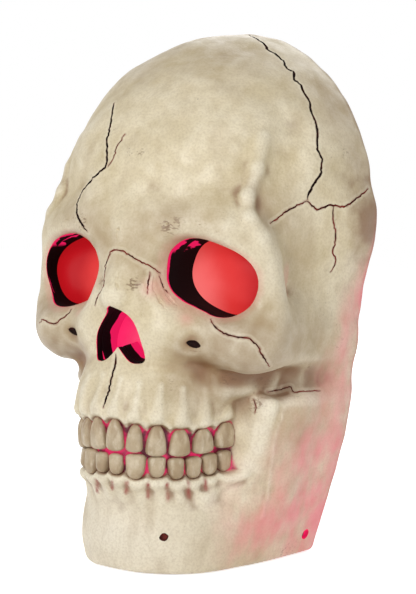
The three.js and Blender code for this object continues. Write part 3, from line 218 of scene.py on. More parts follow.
# Teeth of one side from the middle outwards: width, lowest and highest point.
UPPER_TEETH = np.array((
    (11, 69.4, 88), (10, 68.9, 86), (12, 66.9, 85), (13, 66.4, 83), (14.5, 66.9, 82.5), (16.5, 68.4, 85)))
LOWER_TEETH = np.array((
    (9, 56, 68.1), (12, 54, 68.5), (10.5, 55, 67), (10, 53.5, 66), (10, 53.5, 66), (10.5, 54.5, 67),
    (10.5, 55, 67.5)))
TOOTH_GAP = 1
MOUTH_RECESS = 4
MOUTH_EDGE = 0.7
MOUTH_MIDDLE = 68
MOUTH_END = 79
UPPER_GUM_LAP = 0.5
UPPER_GUM_SCALLOP = 3
LOWER_GUM_SCALLOP = -2.2
SCALLOP_POWER = 2.5
WALK = np.radians(np.arange(0, 100, 0.5))
arch_steps = np.hypot(
    np.diff(arch_width(MOUTH_MIDDLE) * np.sin(WALK)), np.diff(arch_depth(MOUTH_MIDDLE) * np.cos(WALK)))
arch_walked = np.concatenate(([0], np.cumsum(arch_steps)))


def tooth_borders(teeth):
    return np.concatenate(([0], np.cumsum(teeth[:, 0] + TOOTH_GAP)))


def tooth_middles(teeth):
    borders = tooth_borders(teeth)
    return (borders[:-1] + borders[1:]) / 2


def arch_walk(x, y):
    """How far a point lies along the dental arch from its middle."""
    forward = np.maximum(ARCH_CENTRE_Y - y, 0)
    angle = np.arctan2(x / arch_width(MOUTH_MIDDLE), forward / arch_depth(MOUTH_MIDDLE))
    return np.interp(angle, WALK, arch_walked)


def gum_line(walked, teeth, heights, scallop):
    """The edge of the gum along the arch. It runs round the neck of each tooth, with a point between."""
    borders = tooth_borders(teeth)
    tooth = np.clip(np.searchsorted(borders, walked) - 1, 0, len(teeth) - 1)
    share = (walked - borders[tooth]) / (borders[tooth + 1] - borders[tooth])
    necks = np.interp(walked, tooth_middles(teeth), heights)
    return necks - scallop * np.minimum(abs(2 * share - 1), 1)**SCALLOP_POWER


def mouth_share(x, y, z):
    """1 in the recess that the teeth stand in and 0 outside it, with a soft edge."""
    walked = arch_walk(x, y)
    top = gum_line(walked, UPPER_TEETH, UPPER_TEETH[:, 2] - UPPER_GUM_LAP, UPPER_GUM_SCALLOP)
    bottom = gum_line(walked, LOWER_TEETH, LOWER_TEETH[:, 1], LOWER_GUM_SCALLOP)
    inside = np.minimum(np.minimum(top - z, z - bottom), MOUTH_END - walked)
    return 1 / (1 + np.exp(np.clip(-inside / MOUTH_EDGE, -30, 30)))


CHIN_TOP = 45
CHIN_FADE = 30
CHIN_SQUARENESS = 0.5
ARCH_ROUND = 16


def arch(x, y, z):
    """Both jaws where they carry the teeth, and the chin, which is squarer."""
    recess = MOUTH_RECESS * mouth_share(x, y, z)
    width = arch_width(z) - recess
    depth = arch_depth(z) - recess
    power = 2 + CHIN_SQUARENESS * np.clip((CHIN_TOP - z) / CHIN_FADE, 0, 1)
    forward = np.maximum(ARCH_CENTRE_Y - y, 0)
    level = ((x / width)**power + (forward / depth)**power)**(1 / power)
    return soft_max((level - 1) * np.minimum(width, depth), z - ARCH_TOP, ARCH_ROUND)


JAW_DEPTH = 104
JAW_POWER = 2.7
JAW_TOP = 40
JAW_ROUND = 22


def jaw_body(x, y, z):
    """The lower jaw from the chin back to the rim."""
    width = rim_width(z)
    level = ((x / width)**JAW_POWER + (np.maximum(-y, 0) / JAW_DEPTH)**JAW_POWER)**(1 / JAW_POWER)
    return soft_max((level - 1) * width, z - JAW_TOP, JAW_ROUND)


EYE_AT = (48, 164)
EYE_RADII = (25.3, 19.6)
EYE_POWER = 2.4
EYE_TURN = math.radians(-20)
EYE_SLOPE = 2.6
ORBIT_AT_Y = -116
ORBIT_DEPTH = 30


def eye_level(x, z, grow):
    """1 on the outline of an eye opening that is grown all round, less inside it."""
    across = (x - EYE_AT[0]) * math.cos(EYE_TURN) + (z - EYE_AT[1]) * math.sin(EYE_TURN)
    up = (z - EYE_AT[1]) * math.cos(EYE_TURN) - (x - EYE_AT[0]) * math.sin(EYE_TURN)
    total = abs(across / (EYE_RADII[0] + grow))**EYE_POWER + abs(up / (EYE_RADII[1] + grow))**EYE_POWER
    return total**(1 / EYE_POWER)


def orbit(x, y, z):
    """The hollow that each eye opening lies in."""
    return (np.hypot(eye_level(x, z, EYE_SLOPE), (y - ORBIT_AT_Y) / ORBIT_DEPTH) - 1) * EYE_RADII[1]


RAMUS_FRONT = -67
RAMUS_LEAN = 0.25
RAMUS_LEAN_TOP = 70
RAMUS_LEAN_HEIGHT = 40
RAMUS_BEND = 0.0085
RAMUS_BEND_START = -30
RAMUS_BEND_LENGTH = 60
RAMUS_TOP = 97
RAMUS_TOP_Y = -68
RAMUS_TOP_SLOPE = 0.04
RAMUS_ROUND = 6


def ramus(x, y, z):
    """The upright branch of the jaw. Its front edge leans forwards below, and its side bends in there."""
    front = RAMUS_FRONT - RAMUS_LEAN * np.clip(RAMUS_LEAN_TOP - z, 0, RAMUS_LEAN_HEIGHT)
    side = rim_width(z) - RAMUS_BEND * np.clip(RAMUS_BEND_START - y, 0, RAMUS_BEND_LENGTH)**2
    above = z - RAMUS_TOP - RAMUS_TOP_SLOPE * (y - RAMUS_TOP_Y)
    return corner((x - side, front - y, above), RAMUS_ROUND)


CHEEK_WALL_FRONT = -48
CHEEK_WALL_TOP = 126
CHEEK_WALL_ROUND = 8
CHEEK_INSET = 6
CHEEK_INSET_START = -4
CHEEK_INSET_LENGTH = 24


def cheek_wall(x, y, z):
    """The wall below the cheekbone, which is set in a little from the rim."""
    inset = CHEEK_INSET * np.clip((CHEEK_INSET_START - y) / CHEEK_INSET_LENGTH, 0, 1)
    return corner((x - rim_width(z) + inset, CHEEK_WALL_FRONT - y, z - CHEEK_WALL_TOP), CHEEK_WALL_ROUND)


# The bones of the face, each by its ends or its middle and its radii. They go on one after another, each
# with the reach of its fillet.
temple = ball((104, -66, 184), (24, 34, 42))
brow = bar((0, -104, 190), (56, -92, 187), 11, 10)
eye_side = bar((69, -83, 182), (73, -78, 148), 9, 10)
cheekbone = ball((58, -80, 132), (25, 22, 17))
cheek_arch = bar((66, -72, 130), (70, 0, 130), 12, 10)
cheek_arch_low = bar((66, -68, 123), (70, 0, 121), 11, 10)
cheek_arch_high = bar((67, -66, 140), (71, 0, 148), 11, 10)
middle_face = ball((0, -86, 136), (30, 30, 32))
nasal_bone = bar((0, -99, 184), (0, -118, 154), 7.5, 8.5)
nose_side = bar((11, -104, 170), (22, -102, 136), 9, 13)
eye_floor = bar((20, -98, 132), (58, -84, 130), 12, 14)
clay = Clay(vault)
clay.add(skirt, 18)
clay.cut(temple, 18)
for form, blend in (
        (brow, 18), (eye_side, 14), (cheekbone, 14), (cheek_arch, 16), (cheek_arch_low, 8),
        (cheek_arch_high, 10), (arch, 10), (jaw_body, 10), (middle_face, 12), (nasal_bone, 12),
        (nose_side, 12), (eye_floor, 12)):
    clay.add(form, blend)
clay.cut(orbit, 5)
DENTS = (((42, -109, 128), 4), ((16, -119, 161), 3))
DENT_LENGTH = (1, 0, 2)
for at, radius in DENTS:
    clay.cut(bar(at, np.add(at, DENT_LENGTH), radius, radius), 5)


# The line where the temple begins is a low ridge with a hollow behind it, and the cheek falls in below the
# arch. Each station of a route is a place and a radius.
TEMPLE_HOLLOW = ((82, -62, 249, 16), (87, -73, 228, 16), (89, -83, 210, 16), (94, -77, 191, 16))
TEMPLE_LINE = (
    (61, -71, 239, 2.6), (63, -79, 223, 2.6), (63, -87, 208, 2.6), (66, -90, 196, 2.6), (71, -86, 187, 2.6))
CHEEK_HOLLOW = ((56, -86, 101, 6), (70, -60, 102, 6))
UPPER_JAW_BACK = ((46, -80, 106, 9), (56, -58, 106, 9))
CHEEK_GROOVE = ((53, -88, 108, 1.5), (68, -66, 107, 4.5), (81, -36, 107, 3.5), (90, -16, 107, 1.5))


def worked(work, route, blend):
    """Adds a bar between each two stations of a route, or cuts it."""
    for (*start, start_radius), (*end, end_radius) in zip(route, route[1:]):
        work(bar(start, end, start_radius, end_radius), blend)


worked(clay.cut, TEMPLE_HOLLOW, 9)
worked(clay.add, TEMPLE_LINE, 5)
worked(clay.cut, CHEEK_HOLLOW, 9)
worked(clay.add, UPPER_JAW_BACK, 12)
clay.add(cheek_wall, 6)
clay.add(ramus, 8)
worked(clay.cut, CHEEK_GROOVE, 8)


def raised(sink, radius):
    """How a round ridge joins the clay where a line runs over it. The line is given by the distance to it."""
    return lambda field, away, reach: soft_min(field, np.hypot(field + sink, away) - radius, reach)


def side_line(*points):
    """The distance to a line on the side of the head, seen from the side: y and z."""
    segments = [bar((0, *start), (0, *end), 0, 0) for start, end in zip(points, points[1:])]
    return lambda x, y, z: np.minimum.reduce([segment(0 * x, y, z) for segment in segments])


# A ridge runs from the front of the jaw's upright part down into its body, and a fine seam behind it.
JAW_RIDGE = ((-65, 96), (-67, 80), (-68, 70), (-72, 58), (-78, 48), (-84, 45), (-90, 43))
JAW_SEAM = ((-58, 92), (-60, 79), (-60, 68), (-56, 40), (-58, 29))
JAW_SIDE = ((30, -110, 15), (98, -30, 105))
clay.work(raised(1.8, 3.2), side_line(*JAW_RIDGE), 4, JAW_SIDE)
clay.work(raised(0.45, 1), side_line(*JAW_SEAM), 1, JAW_SIDE)


def arch_place(walked, z, inset):
    """A place on the dental arch, an inset behind its surface, and the way it faces."""
    angle = np.interp(walked, arch_walked, WALK)
    width, depth = arch_width(z), arch_depth(z)
    outward = np.array((math.sin(angle) / width, -math.cos(angle) / depth))
    outward /= np.linalg.norm(outward)
    at = np.array((width * math.sin(angle), ARCH_CENTRE_Y - depth * math.cos(angle))) - outward * inset
    return np.array((*at, z)), math.atan2(outward[0], -outward[1])


# The roots of the teeth show as soft ridges in the gum, and a ledge runs below the lower teeth.
ROOT_WIDTH = 0.31
ROOT_START = 4
ROOT_LEAN = 0.97
ROOT_BLEND = 3
ROOT_MARGIN = 12
for teeth, necks, rise, proud in (
        (UPPER_TEETH, UPPER_TEETH[:, 2], 20, 2.3), (LOWER_TEETH, LOWER_TEETH[:, 1], -13, 1)):
    for middle, neck, width in zip(tooth_middles(teeth), necks, teeth[:, 0]):
        radius = ROOT_WIDTH * width
        neck_end = arch_place(middle, neck + math.copysign(ROOT_START, rise), radius - proud)[0]
        root_end = arch_place(middle * ROOT_LEAN, neck + rise, radius / 2)[0]
        ends = np.array((neck_end, root_end))
        box = (ends.min(0) - ROOT_MARGIN, ends.max(0) + ROOT_MARGIN)
        clay.add(bar(neck_end, root_end, radius, radius / 2), ROOT_BLEND, box)
GUM_LEDGE_DROP = 2.8
LOWER_GUM = ((0, -140, 42), (60, -55, 66))


def lower_gum(x, y, z):
    """How far a point is from the ledge below the lower teeth, along the gum."""
    walked = arch_walk(x, y)
    ledge = gum_line(walked, LOWER_TEETH, LOWER_TEETH[:, 1] - GUM_LEDGE_DROP, LOWER_GUM_SCALLOP)
    return np.hypot(z - ledge, np.maximum(walked - MOUTH_END, 0))


clay.work(raised(1.4, 3.2), lower_gum, 2.5, LOWER_GUM)

# Both sides are now one, and a little unevenness is left by hand.
half = clay.field
whole = np.concatenate((half[:0:-1], half))
grid_low = np.array((-clay.axes[0][-1], *GRID_LOW[1:]), float)
grid_x = np.concatenate((-clay.axes[0][:0:-1], clay.axes[0]))
grid_y, grid_z = clay.axes[1:]
UNEVENNESS = ((42, 0.24), (18, 0.1), (8, 0.022))
WAVES = 5
unevenness = np.random.default_rng(31)
for size, depth in UNEVENNESS:
    for _ in range(WAVES):
        heading = unevenness.normal(size=3)
        heading *= 2 * math.pi / size / np.linalg.norm(heading)
        phase = unevenness.uniform(0, 2 * math.pi)
        slant = np.add.outer(np.add.outer(grid_x * heading[0], grid_y * heading[1]), grid_z * heading[2])
        whole += (depth * np.sin(slant + phase)).astype(np.float32)
BASE_ROUND = 4
RIM_SPARE = 3
trimmed = np.maximum(soft_max(whole, -grid_z[None, None, :], BASE_ROUND), grid_y[None, :, None] - RIM_SPARE)


def sample(field, points):
    """The field at points of the mould, between its grid points."""
    place = (np.asarray(points) - grid_low) / CELL
    first = np.clip(np.floor(place).astype(int), 0, np.array(field.shape) - 2)
    share = np.clip(place - first, 0, 1)
    total = 0
    for step in np.ndindex(2, 2, 2):
        weight = np.prod(np.where(step, share, 1 - share), axis=1)
        total = total + weight * field[tuple((first + step).T)]
    return total


def made(name, points, faces, *paints):
    """A new object from points in the frame and faces."""
    mesh = bpy.data.meshes.new(name)
    mesh.from_pydata(points, [], faces)
    for paint in paints:
        mesh.materials.append(paint)
    piece = bpy.data.objects.new(name, mesh)
    scene.collection.objects.link(piece)
    return piece


def marked(piece, name, values, kind="FLOAT"):
    """Writes a value or a vector at each corner of a piece, for nodes to read."""
    attribute = piece.data.attributes.new(name, kind, "POINT")
    attribute.data.foreach_set("value" if kind == "FLOAT" else "vector", np.ravel(values).astype(np.float32))


def facing_out(piece):
    """Turns the faces of a closed mesh outwards."""
    work = bmesh.new()
    work.from_mesh(piece.data)
    bmesh.ops.recalc_face_normals(work, faces=work.faces)
    if work.calc_volume(signed=True) < 0:
        bmesh.ops.reverse_faces(work, faces=work.faces)
    work.to_mesh(piece.data)
    work.free()
    return piece


def skinned(name, field, cell, paint):
    """The surface of a field as a closed mesh."""
    grid = openvdb.FloatGrid()
    grid.copyFromArray(np.ascontiguousarray(field, dtype=np.float32))
    points, triangles, quads = grid.convertToPolygons(isovalue=0, adaptivity=0)
    faces = [*triangles.tolist(), *quads.tolist()]
    return facing_out(made(name, placed(points * cell + grid_low), faces, paint))


# Paints and node groups. A finish is a shader whose colours come from noise, ramps and what the corners of a
# piece are marked with.
class Value:
    """An output of a node. Sums on it become math nodes."""

    def __init__(self, tree, socket):
        self.tree = tree
        self.socket = socket

    def maths(self, operation, first, second):
        return self.tree.node("ShaderNodeMath", {"operation": operation}, {0: first, 1: second})

    def __add__(self, other):
        return self.maths("ADD", self, other)

    def __sub__(self, other):
        return self.maths("SUBTRACT", self, other)

    def __rsub__(self, other):
        return self.maths("SUBTRACT", other, self)

    def __mul__(self, other):
        return self.maths("MULTIPLY", self, other)

    __radd__ = __add__
    __rmul__ = __mul__


class Tree:
    """A node tree. A node is added to it by its type, its settings and what its sockets take."""

    def __init__(self, tree):
        self.tree = tree

    def node(self, kind, settings=None, sockets=None, output=0):
        node = self.tree.nodes.new(kind)
        for name, value in (settings or {}).items():
            setattr(node, name, value)
        for name, value in (sockets or {}).items():
            if isinstance(value, Value):
                self.tree.links.new(value.socket, node.inputs[name])
            else:
                node.inputs[name].default_value = value
        return Value(self, node.outputs[output]) if node.outputs else None

    def over(self, share, under, above):
        """One colour laid over another by a share."""
        return self.node("ShaderNodeMix", {"data_type": "RGBA"}, {0: share, 6: under, 7: above}, output=2)


def tint(red, green, blue):
    """A colour as a screen shows it, from 0 to 255, for a shader."""
    share = np.array((red, green, blue)) / 255
    linear = np.where(share > 0.04045, ((share + 0.055) / 1.055)**2.4, share / 12.92)
    return (*map(float, linear), 1.0)


class Paint(Tree):
    """A finish: a material, its shader with the sockets that stay the same, and the patterns that vary it."""

    def __init__(self, name, sockets):
        self.material = bpy.data.materials.new(name)
        self.material.use_nodes = True
        super().__init__(self.material.node_tree)
        self.shader = self.tree.nodes["Principled BSDF"]
        for socket, value in sockets.items():
            self.shader.inputs[socket].default_value = value
        self.place = self.node("ShaderNodeTexCoord", output="Object")

    def feed(self, socket, value):
        self.tree.links.new(value.socket, self.shader.inputs[socket])

    def noise(self, size, detail=3, stretch=(1, 1, 1), shift=0):
        """Cloudy noise about as coarse as a size in millimetres, around a half."""
        at = self.node("ShaderNodeMapping", sockets={
            "Vector": self.place, "Location": (shift, shift, shift), "Scale": stretch})
        return self.node("ShaderNodeTexNoise", sockets={"Vector": at, "Scale": 1000 / size, "Detail": detail})

    def ramp(self, value, low, high):
        """0 below low, 1 above high and smooth between."""
        return self.node("ShaderNodeMapRange", {"interpolation_type": "SMOOTHSTEP"}, {
            "Value": value, "From Min": low, "From Max": high})

    def attribute(self, name):
        return self.node("ShaderNodeAttribute", {"attribute_name": name}, output="Fac")

    def clouds(self, size, detail, low, high, first, second):
        """Two colours in clouds about as coarse as a size, the second where the noise is high."""
        return self.over(self.ramp(self.noise(size, detail), low, high), first, second)

    def axis(self, name):
        """One of the frame's coordinates, in metres."""
        return self.node("ShaderNodeSeparateXYZ", sockets={0: self.place}, output=name)

    def bump(self, height, distance):
        """Relief of a depth in millimetres."""
        self.feed("Normal", self.node("ShaderNodeBump", sockets={
            "Height": height, "Distance": distance / 1000, "Strength": 1.0}))


# Bone: an ivory base with coats of dirt, brown airbrush mixed with painted shade, cracks, red paint, a
# painted pink glow and painted highlights over it. Patterns come first, then the coats in their order, each
# with its share.
bone = Paint("bone", {"IOR": 1.45, "Emission Strength": 1.0})
crack, gap, grit = map(bone.attribute, ("crack", "gap", "grit"))
cloud = bone.ramp(bone.noise(34, 4), 0.36, 0.66)
mottle = bone.ramp(bone.noise(9, 4, shift=2), 0.34, 0.7)
streak = bone.ramp(bone.noise(14, 5, stretch=(1, 1, 0.35), shift=5), 0.5, 0.74)
enamel = bone.ramp(bone.noise(6, 4, stretch=(1, 1, 0.5), shift=14), 0.36, 0.64)
# Lighter patches on the teeth are painted highlights.
glint = bone.ramp(bone.noise(3.5, 4, stretch=(1, 1, 0.4), shift=15), 0.5, 0.7)
tooth_colour = bone.over(enamel, tint(184, 165, 136), tint(156, 133, 104))
tooth_colour = bone.over(glint * 0.55, tooth_colour, tint(218, 206, 182))
# The brown coat is partly airbrush and rim dirt and partly painted shade under the cheekbones and in hollows.
spray_and_shade = bone.attribute("brown") * (0.7 + bone.noise(16, 5, shift=10) * 0.6)
grain = bone.ramp(bone.noise(1.3, 3, shift=16), 0.38, 0.68)
# Darker brown in hollows and creases: partly airbrushed antiquing and partly painted shade.
airbrush_and_shade = bone.ramp(bone.attribute("hollow") + (bone.noise(6, 4, shift=8) - 0.5) * 0.3, 0.12, 0.7)
soil = bone.ramp(bone.noise(40, 2, shift=11), 0.4, 0.66)
speck = bone.ramp(bone.noise(1.7, 4, shift=1), 0.62, 0.76) * soil * 0.5
grit_noise = bone.noise(2.4, 6, stretch=(1, 1, 2), shift=13)
speck = speck + bone.ramp(grit_noise + grit * 0.22, 0.62, 0.78) * grit
# Reddish brown beside the cracks: partly stain and partly painted red glow of the lamp through them.
stain_and_glow = bone.ramp(crack + (bone.noise(4, 4, shift=3) - 0.5) * 0.5, 0.66, 0.98)
rosy = bone.ramp(bone.attribute("blush") + (bone.noise(5, 3, shift=4) - 0.5) * 0.5, 0.1, 1)
# Pink towards the rim and on the lower jaw is painted glow of the lamp through the thin wall.
pink_cloud = bone.ramp(bone.noise(22, 5, stretch=(1, 1, 0.6), shift=9), 0.28, 0.72)
patch = bone.ramp(bone.attribute("pink") * (0.35 + pink_cloud * 0.95), 0.06, 0.98)
# Brown round each tooth: partly dirt in the joint and partly painted shade.
outline = bone.ramp(bone.attribute("outline") + (bone.noise(2.5, 3, shift=6) - 0.5) * 0.7, 0.3, 0.95)
colour = bone.over(cloud * 0.7, tint(226, 214, 186), tint(202, 186, 148))
for share, coat in (
        (mottle * 0.3, tint(182, 164, 124)),
        # Paler paint on the chin, and painted highlights along the jaw's front edge and ledge.
        (bone.attribute("pale") * 0.9, tint(238, 230, 214)),
        (bone.attribute("tooth") * 0.88, tooth_colour),
        (streak * 0.28, tint(154, 130, 92)),
        (bone.ramp(spray_and_shade, 0, 1.15), tint(126, 90, 52)),
        # Convex ridges lighter: partly dry-brushed paint and partly painted highlight.
        (bone.attribute("ridge") * 0.6, tint(238, 230, 208)),
        (grain * 0.2, tint(158, 134, 98)),
        (airbrush_and_shade * (1 - bone.attribute("clean")) * 0.8, tint(126, 88, 58)),
        (bone.ramp(speck, 0, 1) * 0.8, tint(112, 80, 54)),
        # A pale rim along each crack is a painted highlight of its raised lip.
        (bone.ramp(crack, 0.3, 0.55) * 0.2, tint(232, 224, 198)),
        (stain_and_glow * 0.6, tint(138, 76, 58)),
        (bone.attribute("red") * (0.5 + bone.noise(3, 4, shift=12)), tint(150, 56, 48)),
        (rosy * 0.32, tint(216, 146, 134)),
        (patch * 0.85, tint(222, 130, 136)),
        (outline * 0.6, tint(124, 74, 56)),
        # The recess between the teeth is painted near black, as shade.
        (gap, tint(50, 6, 20))):
    colour = bone.over(share, colour, coat)
bone.feed("Base Color", colour)
# Painted glow: the recess between the teeth and the pink coat give off magenta light, as if lit by the lamp.
gap_light = bone.over(bone.ramp(bone.noise(9, 4, shift=7), 0.4, 0.6), tint(70, 8, 24), tint(206, 24, 84))
light = bone.over(gap, tint(0, 0, 0), gap_light)
bone.feed("Emission Color", bone.over(patch * (1 - gap) * 0.11, light, tint(255, 60, 104)))
bone.feed("Roughness", 0.4 + mottle * 0.16)
bone.bump(bone.noise(3.2, 4) + bone.noise(0.9, 3) * 0.4, 0.22)

# Inside, the wall glows up to a few millimetres before the rim. The fade is in metres from the rim.
LIT_END = (-0.010, -0.004)
lit = Paint("lit_inside", {"Base Color": tint(120, 10, 40), "Roughness": 0.5, "Emission Strength": 1.0})
lit_cloud = lit.clouds(4, 3, 0.4, 0.65, tint(232, 28, 92), tint(190, 20, 70))
lit_rim = lit.ramp(lit.axis("Y"), *(RIM_Y / 1000 + end for end in LIT_END))
lit.feed("Emission Color", lit.over(lit_rim * 0.9, lit_cloud, tint(30, 4, 10)))

# How high in the frame, in metres, the brushed paint begins to thin out.
THIN_PAINT = (0.172, 0.184)


def brushed(name, reach, end=-1):
    """Black paint brushed over translucent plastic that is lit from behind. It is thin at the front and top,
    and may end at a share of the depth."""
    paint = Paint(name, {"Roughness": 0.7, "Specular IOR Level": 0.1, "Emission Strength": 1.0})
    front = paint.attribute("front") * reach
    strokes = paint.noise(9, 5, stretch=(1, 0.35, 1)) - 0.5
    line = paint.ramp(front + strokes * 0.2, 0.86, 0.95)
    top = paint.ramp(paint.axis("Z"), *THIN_PAINT) * paint.ramp(front + strokes * 1.6, 0.5, 0.6)
    streaks = paint.ramp(strokes + (front - 1) * 0.3, 0.14, 0.18)
    deep = paint.ramp(front + strokes * 0.3, end + 0.02, end - 0.02)
    bare = paint.ramp(line + top + streaks + deep, 0.3, 0.6)
    paint.feed("Base Color", paint.over(bare, tint(5, 4, 5), tint(90, 8, 34)))
    paint.feed("Emission Color", paint.over(bare, tint(0, 0, 0), tint(222, 24, 86)))
    return paint


edge = brushed("brushed_edge", 1)
crack_paint = Paint("crack", {"Roughness": 0.8, "Specular IOR Level": 0.1})
crack_paint.feed("Base Color", crack_paint.clouds(5, 3, 0.5, 0.8, tint(32, 18, 16), tint(86, 40, 34)))
fine_paint = Paint("fine_crack", {"Roughness": 0.8, "Specular IOR Level": 0.1})
fine_paint.feed("Base Color", fine_paint.clouds(6, 3, 0.36, 0.64, tint(58, 28, 24), tint(136, 58, 50)))

skull = skinned("skull", trimmed, CELL, bone.material)
skin_tree = BVHTree.FromObject(skull, bpy.context.evaluated_depsgraph_get())


def settled(piece):
    """The piece as its modifiers make it, as a plain mesh."""
    bpy.context.view_layer.update()
    result = piece.evaluated_get(bpy.context.evaluated_depsgraph_get())
    mesh = bpy.data.meshes.new_from_object(result)
    piece.modifiers.clear()
    piece.data = mesh
    return piece


def carve(piece, operation, tool):
    """Joins a closed mesh to the piece, or cuts it away, and keeps the tool's finish on the new faces."""
    modifier = piece.modifiers.new("carve", "BOOLEAN")
    modifier.solver = "MANIFOLD"
    modifier.operation = operation
    modifier.material_mode = "TRANSFER"
    modifier.object = tool
    settled(piece)
    bpy.data.objects.remove(tool)


class Group(Tree):
    """A group of geometry nodes with named inputs. It makes one mesh and paints it."""

    def __init__(self, name, **kinds):
        super().__init__(bpy.data.node_groups.new(name, "GeometryNodeTree"))
        sockets = self.tree.interface
        self.inputs = {
            label: sockets.new_socket(label, in_out="INPUT", socket_type=f"NodeSocket{kind}").identifier
            for label, kind in kinds.items()}
        sockets.new_socket("Mesh", in_out="OUTPUT", socket_type="NodeSocketGeometry")

    def given(self, label):
        return self.node("NodeGroupInput", output=label)

    def mark(self, name, kind):
        """What each point is marked with."""
        return self.node("GeometryNodeInputNamedAttribute", {"data_type": kind}, {"Name": name})

    def make(self, mesh):
        finish = {"Geometry": mesh, "Material": self.given("Paint")}
        self.node("NodeGroupOutput", sockets={0: self.node("GeometryNodeSetMaterial", sockets=finish)})

    def run(self, piece, **values):
        modifier = piece.modifiers.new(self.tree.name, "NODES")
        modifier.node_group = self.tree
        for label, value in values.items():
            modifier[self.inputs[label]] = value
        return settled(piece)


# Copies of a small mesh on points: each point is marked with a turn and a size.
copying = Group("copies", Points="Geometry", Shape="Object", Paint="Material")
copying.make(copying.node("GeometryNodeRealizeInstances", sockets={
    0: copying.node("GeometryNodeInstanceOnPoints", sockets={
        "Points": copying.node("GeometryNodeMeshToPoints", sockets={"Mesh": copying.given("Points")}),
        "Instance": copying.node(
            "GeometryNodeObjectInfo", sockets={"Object": copying.given("Shape")}, output="Geometry"),
        "Rotation": copying.node(
            "FunctionNodeEulerToRotation", sockets={0: copying.mark("turn", "FLOAT_VECTOR")}),
        "Scale": copying.mark("size", "FLOAT_VECTOR")})}))


def copies(name, shape, places, turns, sizes, paint):
    """Copies of a mesh, made in millimetres or in shares of a size, as one plain mesh in the frame."""
    piece = made(name, placed(places), [])
    marked(piece, "turn", turns, "FLOAT_VECTOR")
    marked(piece, "size", np.asarray(sizes) / 1000, "FLOAT_VECTOR")
    copying.run(piece, Shape=shape, Paint=paint)
    bpy.data.objects.remove(shape)
    return piece


# A tube along a path: each point of the path is marked with the tube's radius.
tubing = Group("tube", Path="Geometry", Sides="Int", Paint="Material")
tubing.make(tubing.node("GeometryNodeCurveToMesh", sockets={
    "Curve": tubing.node("GeometryNodeMeshToCurve", sockets={"Mesh": tubing.given("Path")}),
    "Profile Curve": tubing.node(
        "GeometryNodeCurvePrimitiveCircle", sockets={"Resolution": tubing.given("Sides"), "Radius": 1.0}),
    "Scale": tubing.mark("radius", "FLOAT"), "Fill Caps": True}))


def tube(name, points, radii, sides, paint):
    """A closed tube through points in the frame, with a radius in millimetres at each."""
    piece = made(name, points, [])
    piece.data.edges.add(len(points) - 1)
    piece.data.edges.foreach_set("vertices", [end for i in range(len(points) - 1) for end in (i, i + 1)])
    marked(piece, "radius", np.asarray(radii, np.float32) / 1000)
    return tubing.run(piece, Sides=sides, Paint=paint)


def all_round(count):
    """Angles all the way round, in even steps."""
    return np.linspace(0, 2 * math.pi, count, endpoint=False)


def squared(values, power):
    """Sines or cosines pressed outwards, which makes a circle squarer the smaller the power is."""
    return np.copysign(abs(values)**power, values)


# Teeth: copies of one shape for each jaw, set on the arch with a little disorder and joined to the skull.
TOOTH_DEPTH = 9
TOOTH_PROUD = 1.7
TOOTH_RINGS = 16
TOOTH_SEGMENTS = 28
TOOTH_SQUARENESS = (0.62, 0.77)
TOOTH_EDGE = 0.2


def tooth_shape(narrowing, neck):
    """A tooth of unit size from its biting edge, below, to its neck. It narrows upwards, and the share of its
    height that the neck takes is a dome."""
    around = all_round(TOOTH_SEGMENTS)
    across = squared(np.cos(around), TOOTH_SQUARENESS[0]) / 2
    deep = squared(np.sin(around), TOOTH_SQUARENESS[1]) / 2
    points = []
    for rise in (1 - np.cos(np.linspace(0, math.pi, TOOTH_RINGS + 1)[1:-1])) / 2:
        edge = (1 - max(1 - rise / TOOTH_EDGE, 0)**2.4)**0.42
        dome = (1 - max((rise - 1 + neck) / neck, 0)**2.2)**0.5
        width = edge * dome * (1 - narrowing * rise**1.4)
        depth = edge**0.6 * dome * (0.78 + 0.22 * math.sin(math.pi * min(rise * 1.3, 1) / 2))
        points += [(x * width, y * depth, rise - 0.5) for x, y in zip(across, deep)]
    points += [(0, 0, -0.5), (0, 0, 0.5)]
    faces = []
    top = (TOOTH_RINGS - 2) * TOOTH_SEGMENTS
    for step in range(TOOTH_SEGMENTS):
        after = (step + 1) % TOOTH_SEGMENTS
        for low in range(0, top, TOOTH_SEGMENTS):
            faces.append((low + step, low + after, low + TOOTH_SEGMENTS + after, low + TOOTH_SEGMENTS + step))
        faces.append((len(points) - 2, after, step))
        faces.append((len(points) - 1, top + step, top + after))
    return made("tooth_shape", points, faces)


UPPER_SHAPE = (0.3, 0.6)
LOWER_SHAPE = (0.26, 0.35)
TOOTH_FIT = 0.2
TOOTH_DISORDER = (0.03, 0.035, 0.06)
TOOTH_UNEVENNESS = 0.3
tooth_random = np.random.default_rng(5)
tooth_trees = []
for teeth, shape, flip in ((UPPER_TEETH, UPPER_SHAPE, 0), (LOWER_TEETH, LOWER_SHAPE, math.pi)):
    places, turns, sizes = [], [], []
    for middle, (width, low, high) in zip(tooth_middles(teeth), teeth):
        for side in (-1, 1):
            at, turn = arch_place(middle, (low + high) / 2, TOOTH_DEPTH / 2 - TOOTH_PROUD)
            places.append(at * (side, 1, 1))
            lean, tilt, twist = tooth_random.normal(scale=TOOTH_DISORDER)
            turns.append((lean, flip + tilt, side * turn + twist))
            height = high - low + tooth_random.normal(scale=TOOTH_UNEVENNESS)
            sizes.append((width - TOOTH_FIT, TOOTH_DEPTH, height))
    crowns = copies("teeth", tooth_shape(*shape), places, turns, sizes, bone.material)
    tooth_trees.append(BVHTree.FromObject(crowns, bpy.context.evaluated_depsgraph_get()))
    carve(skull, "UNION", crowns)

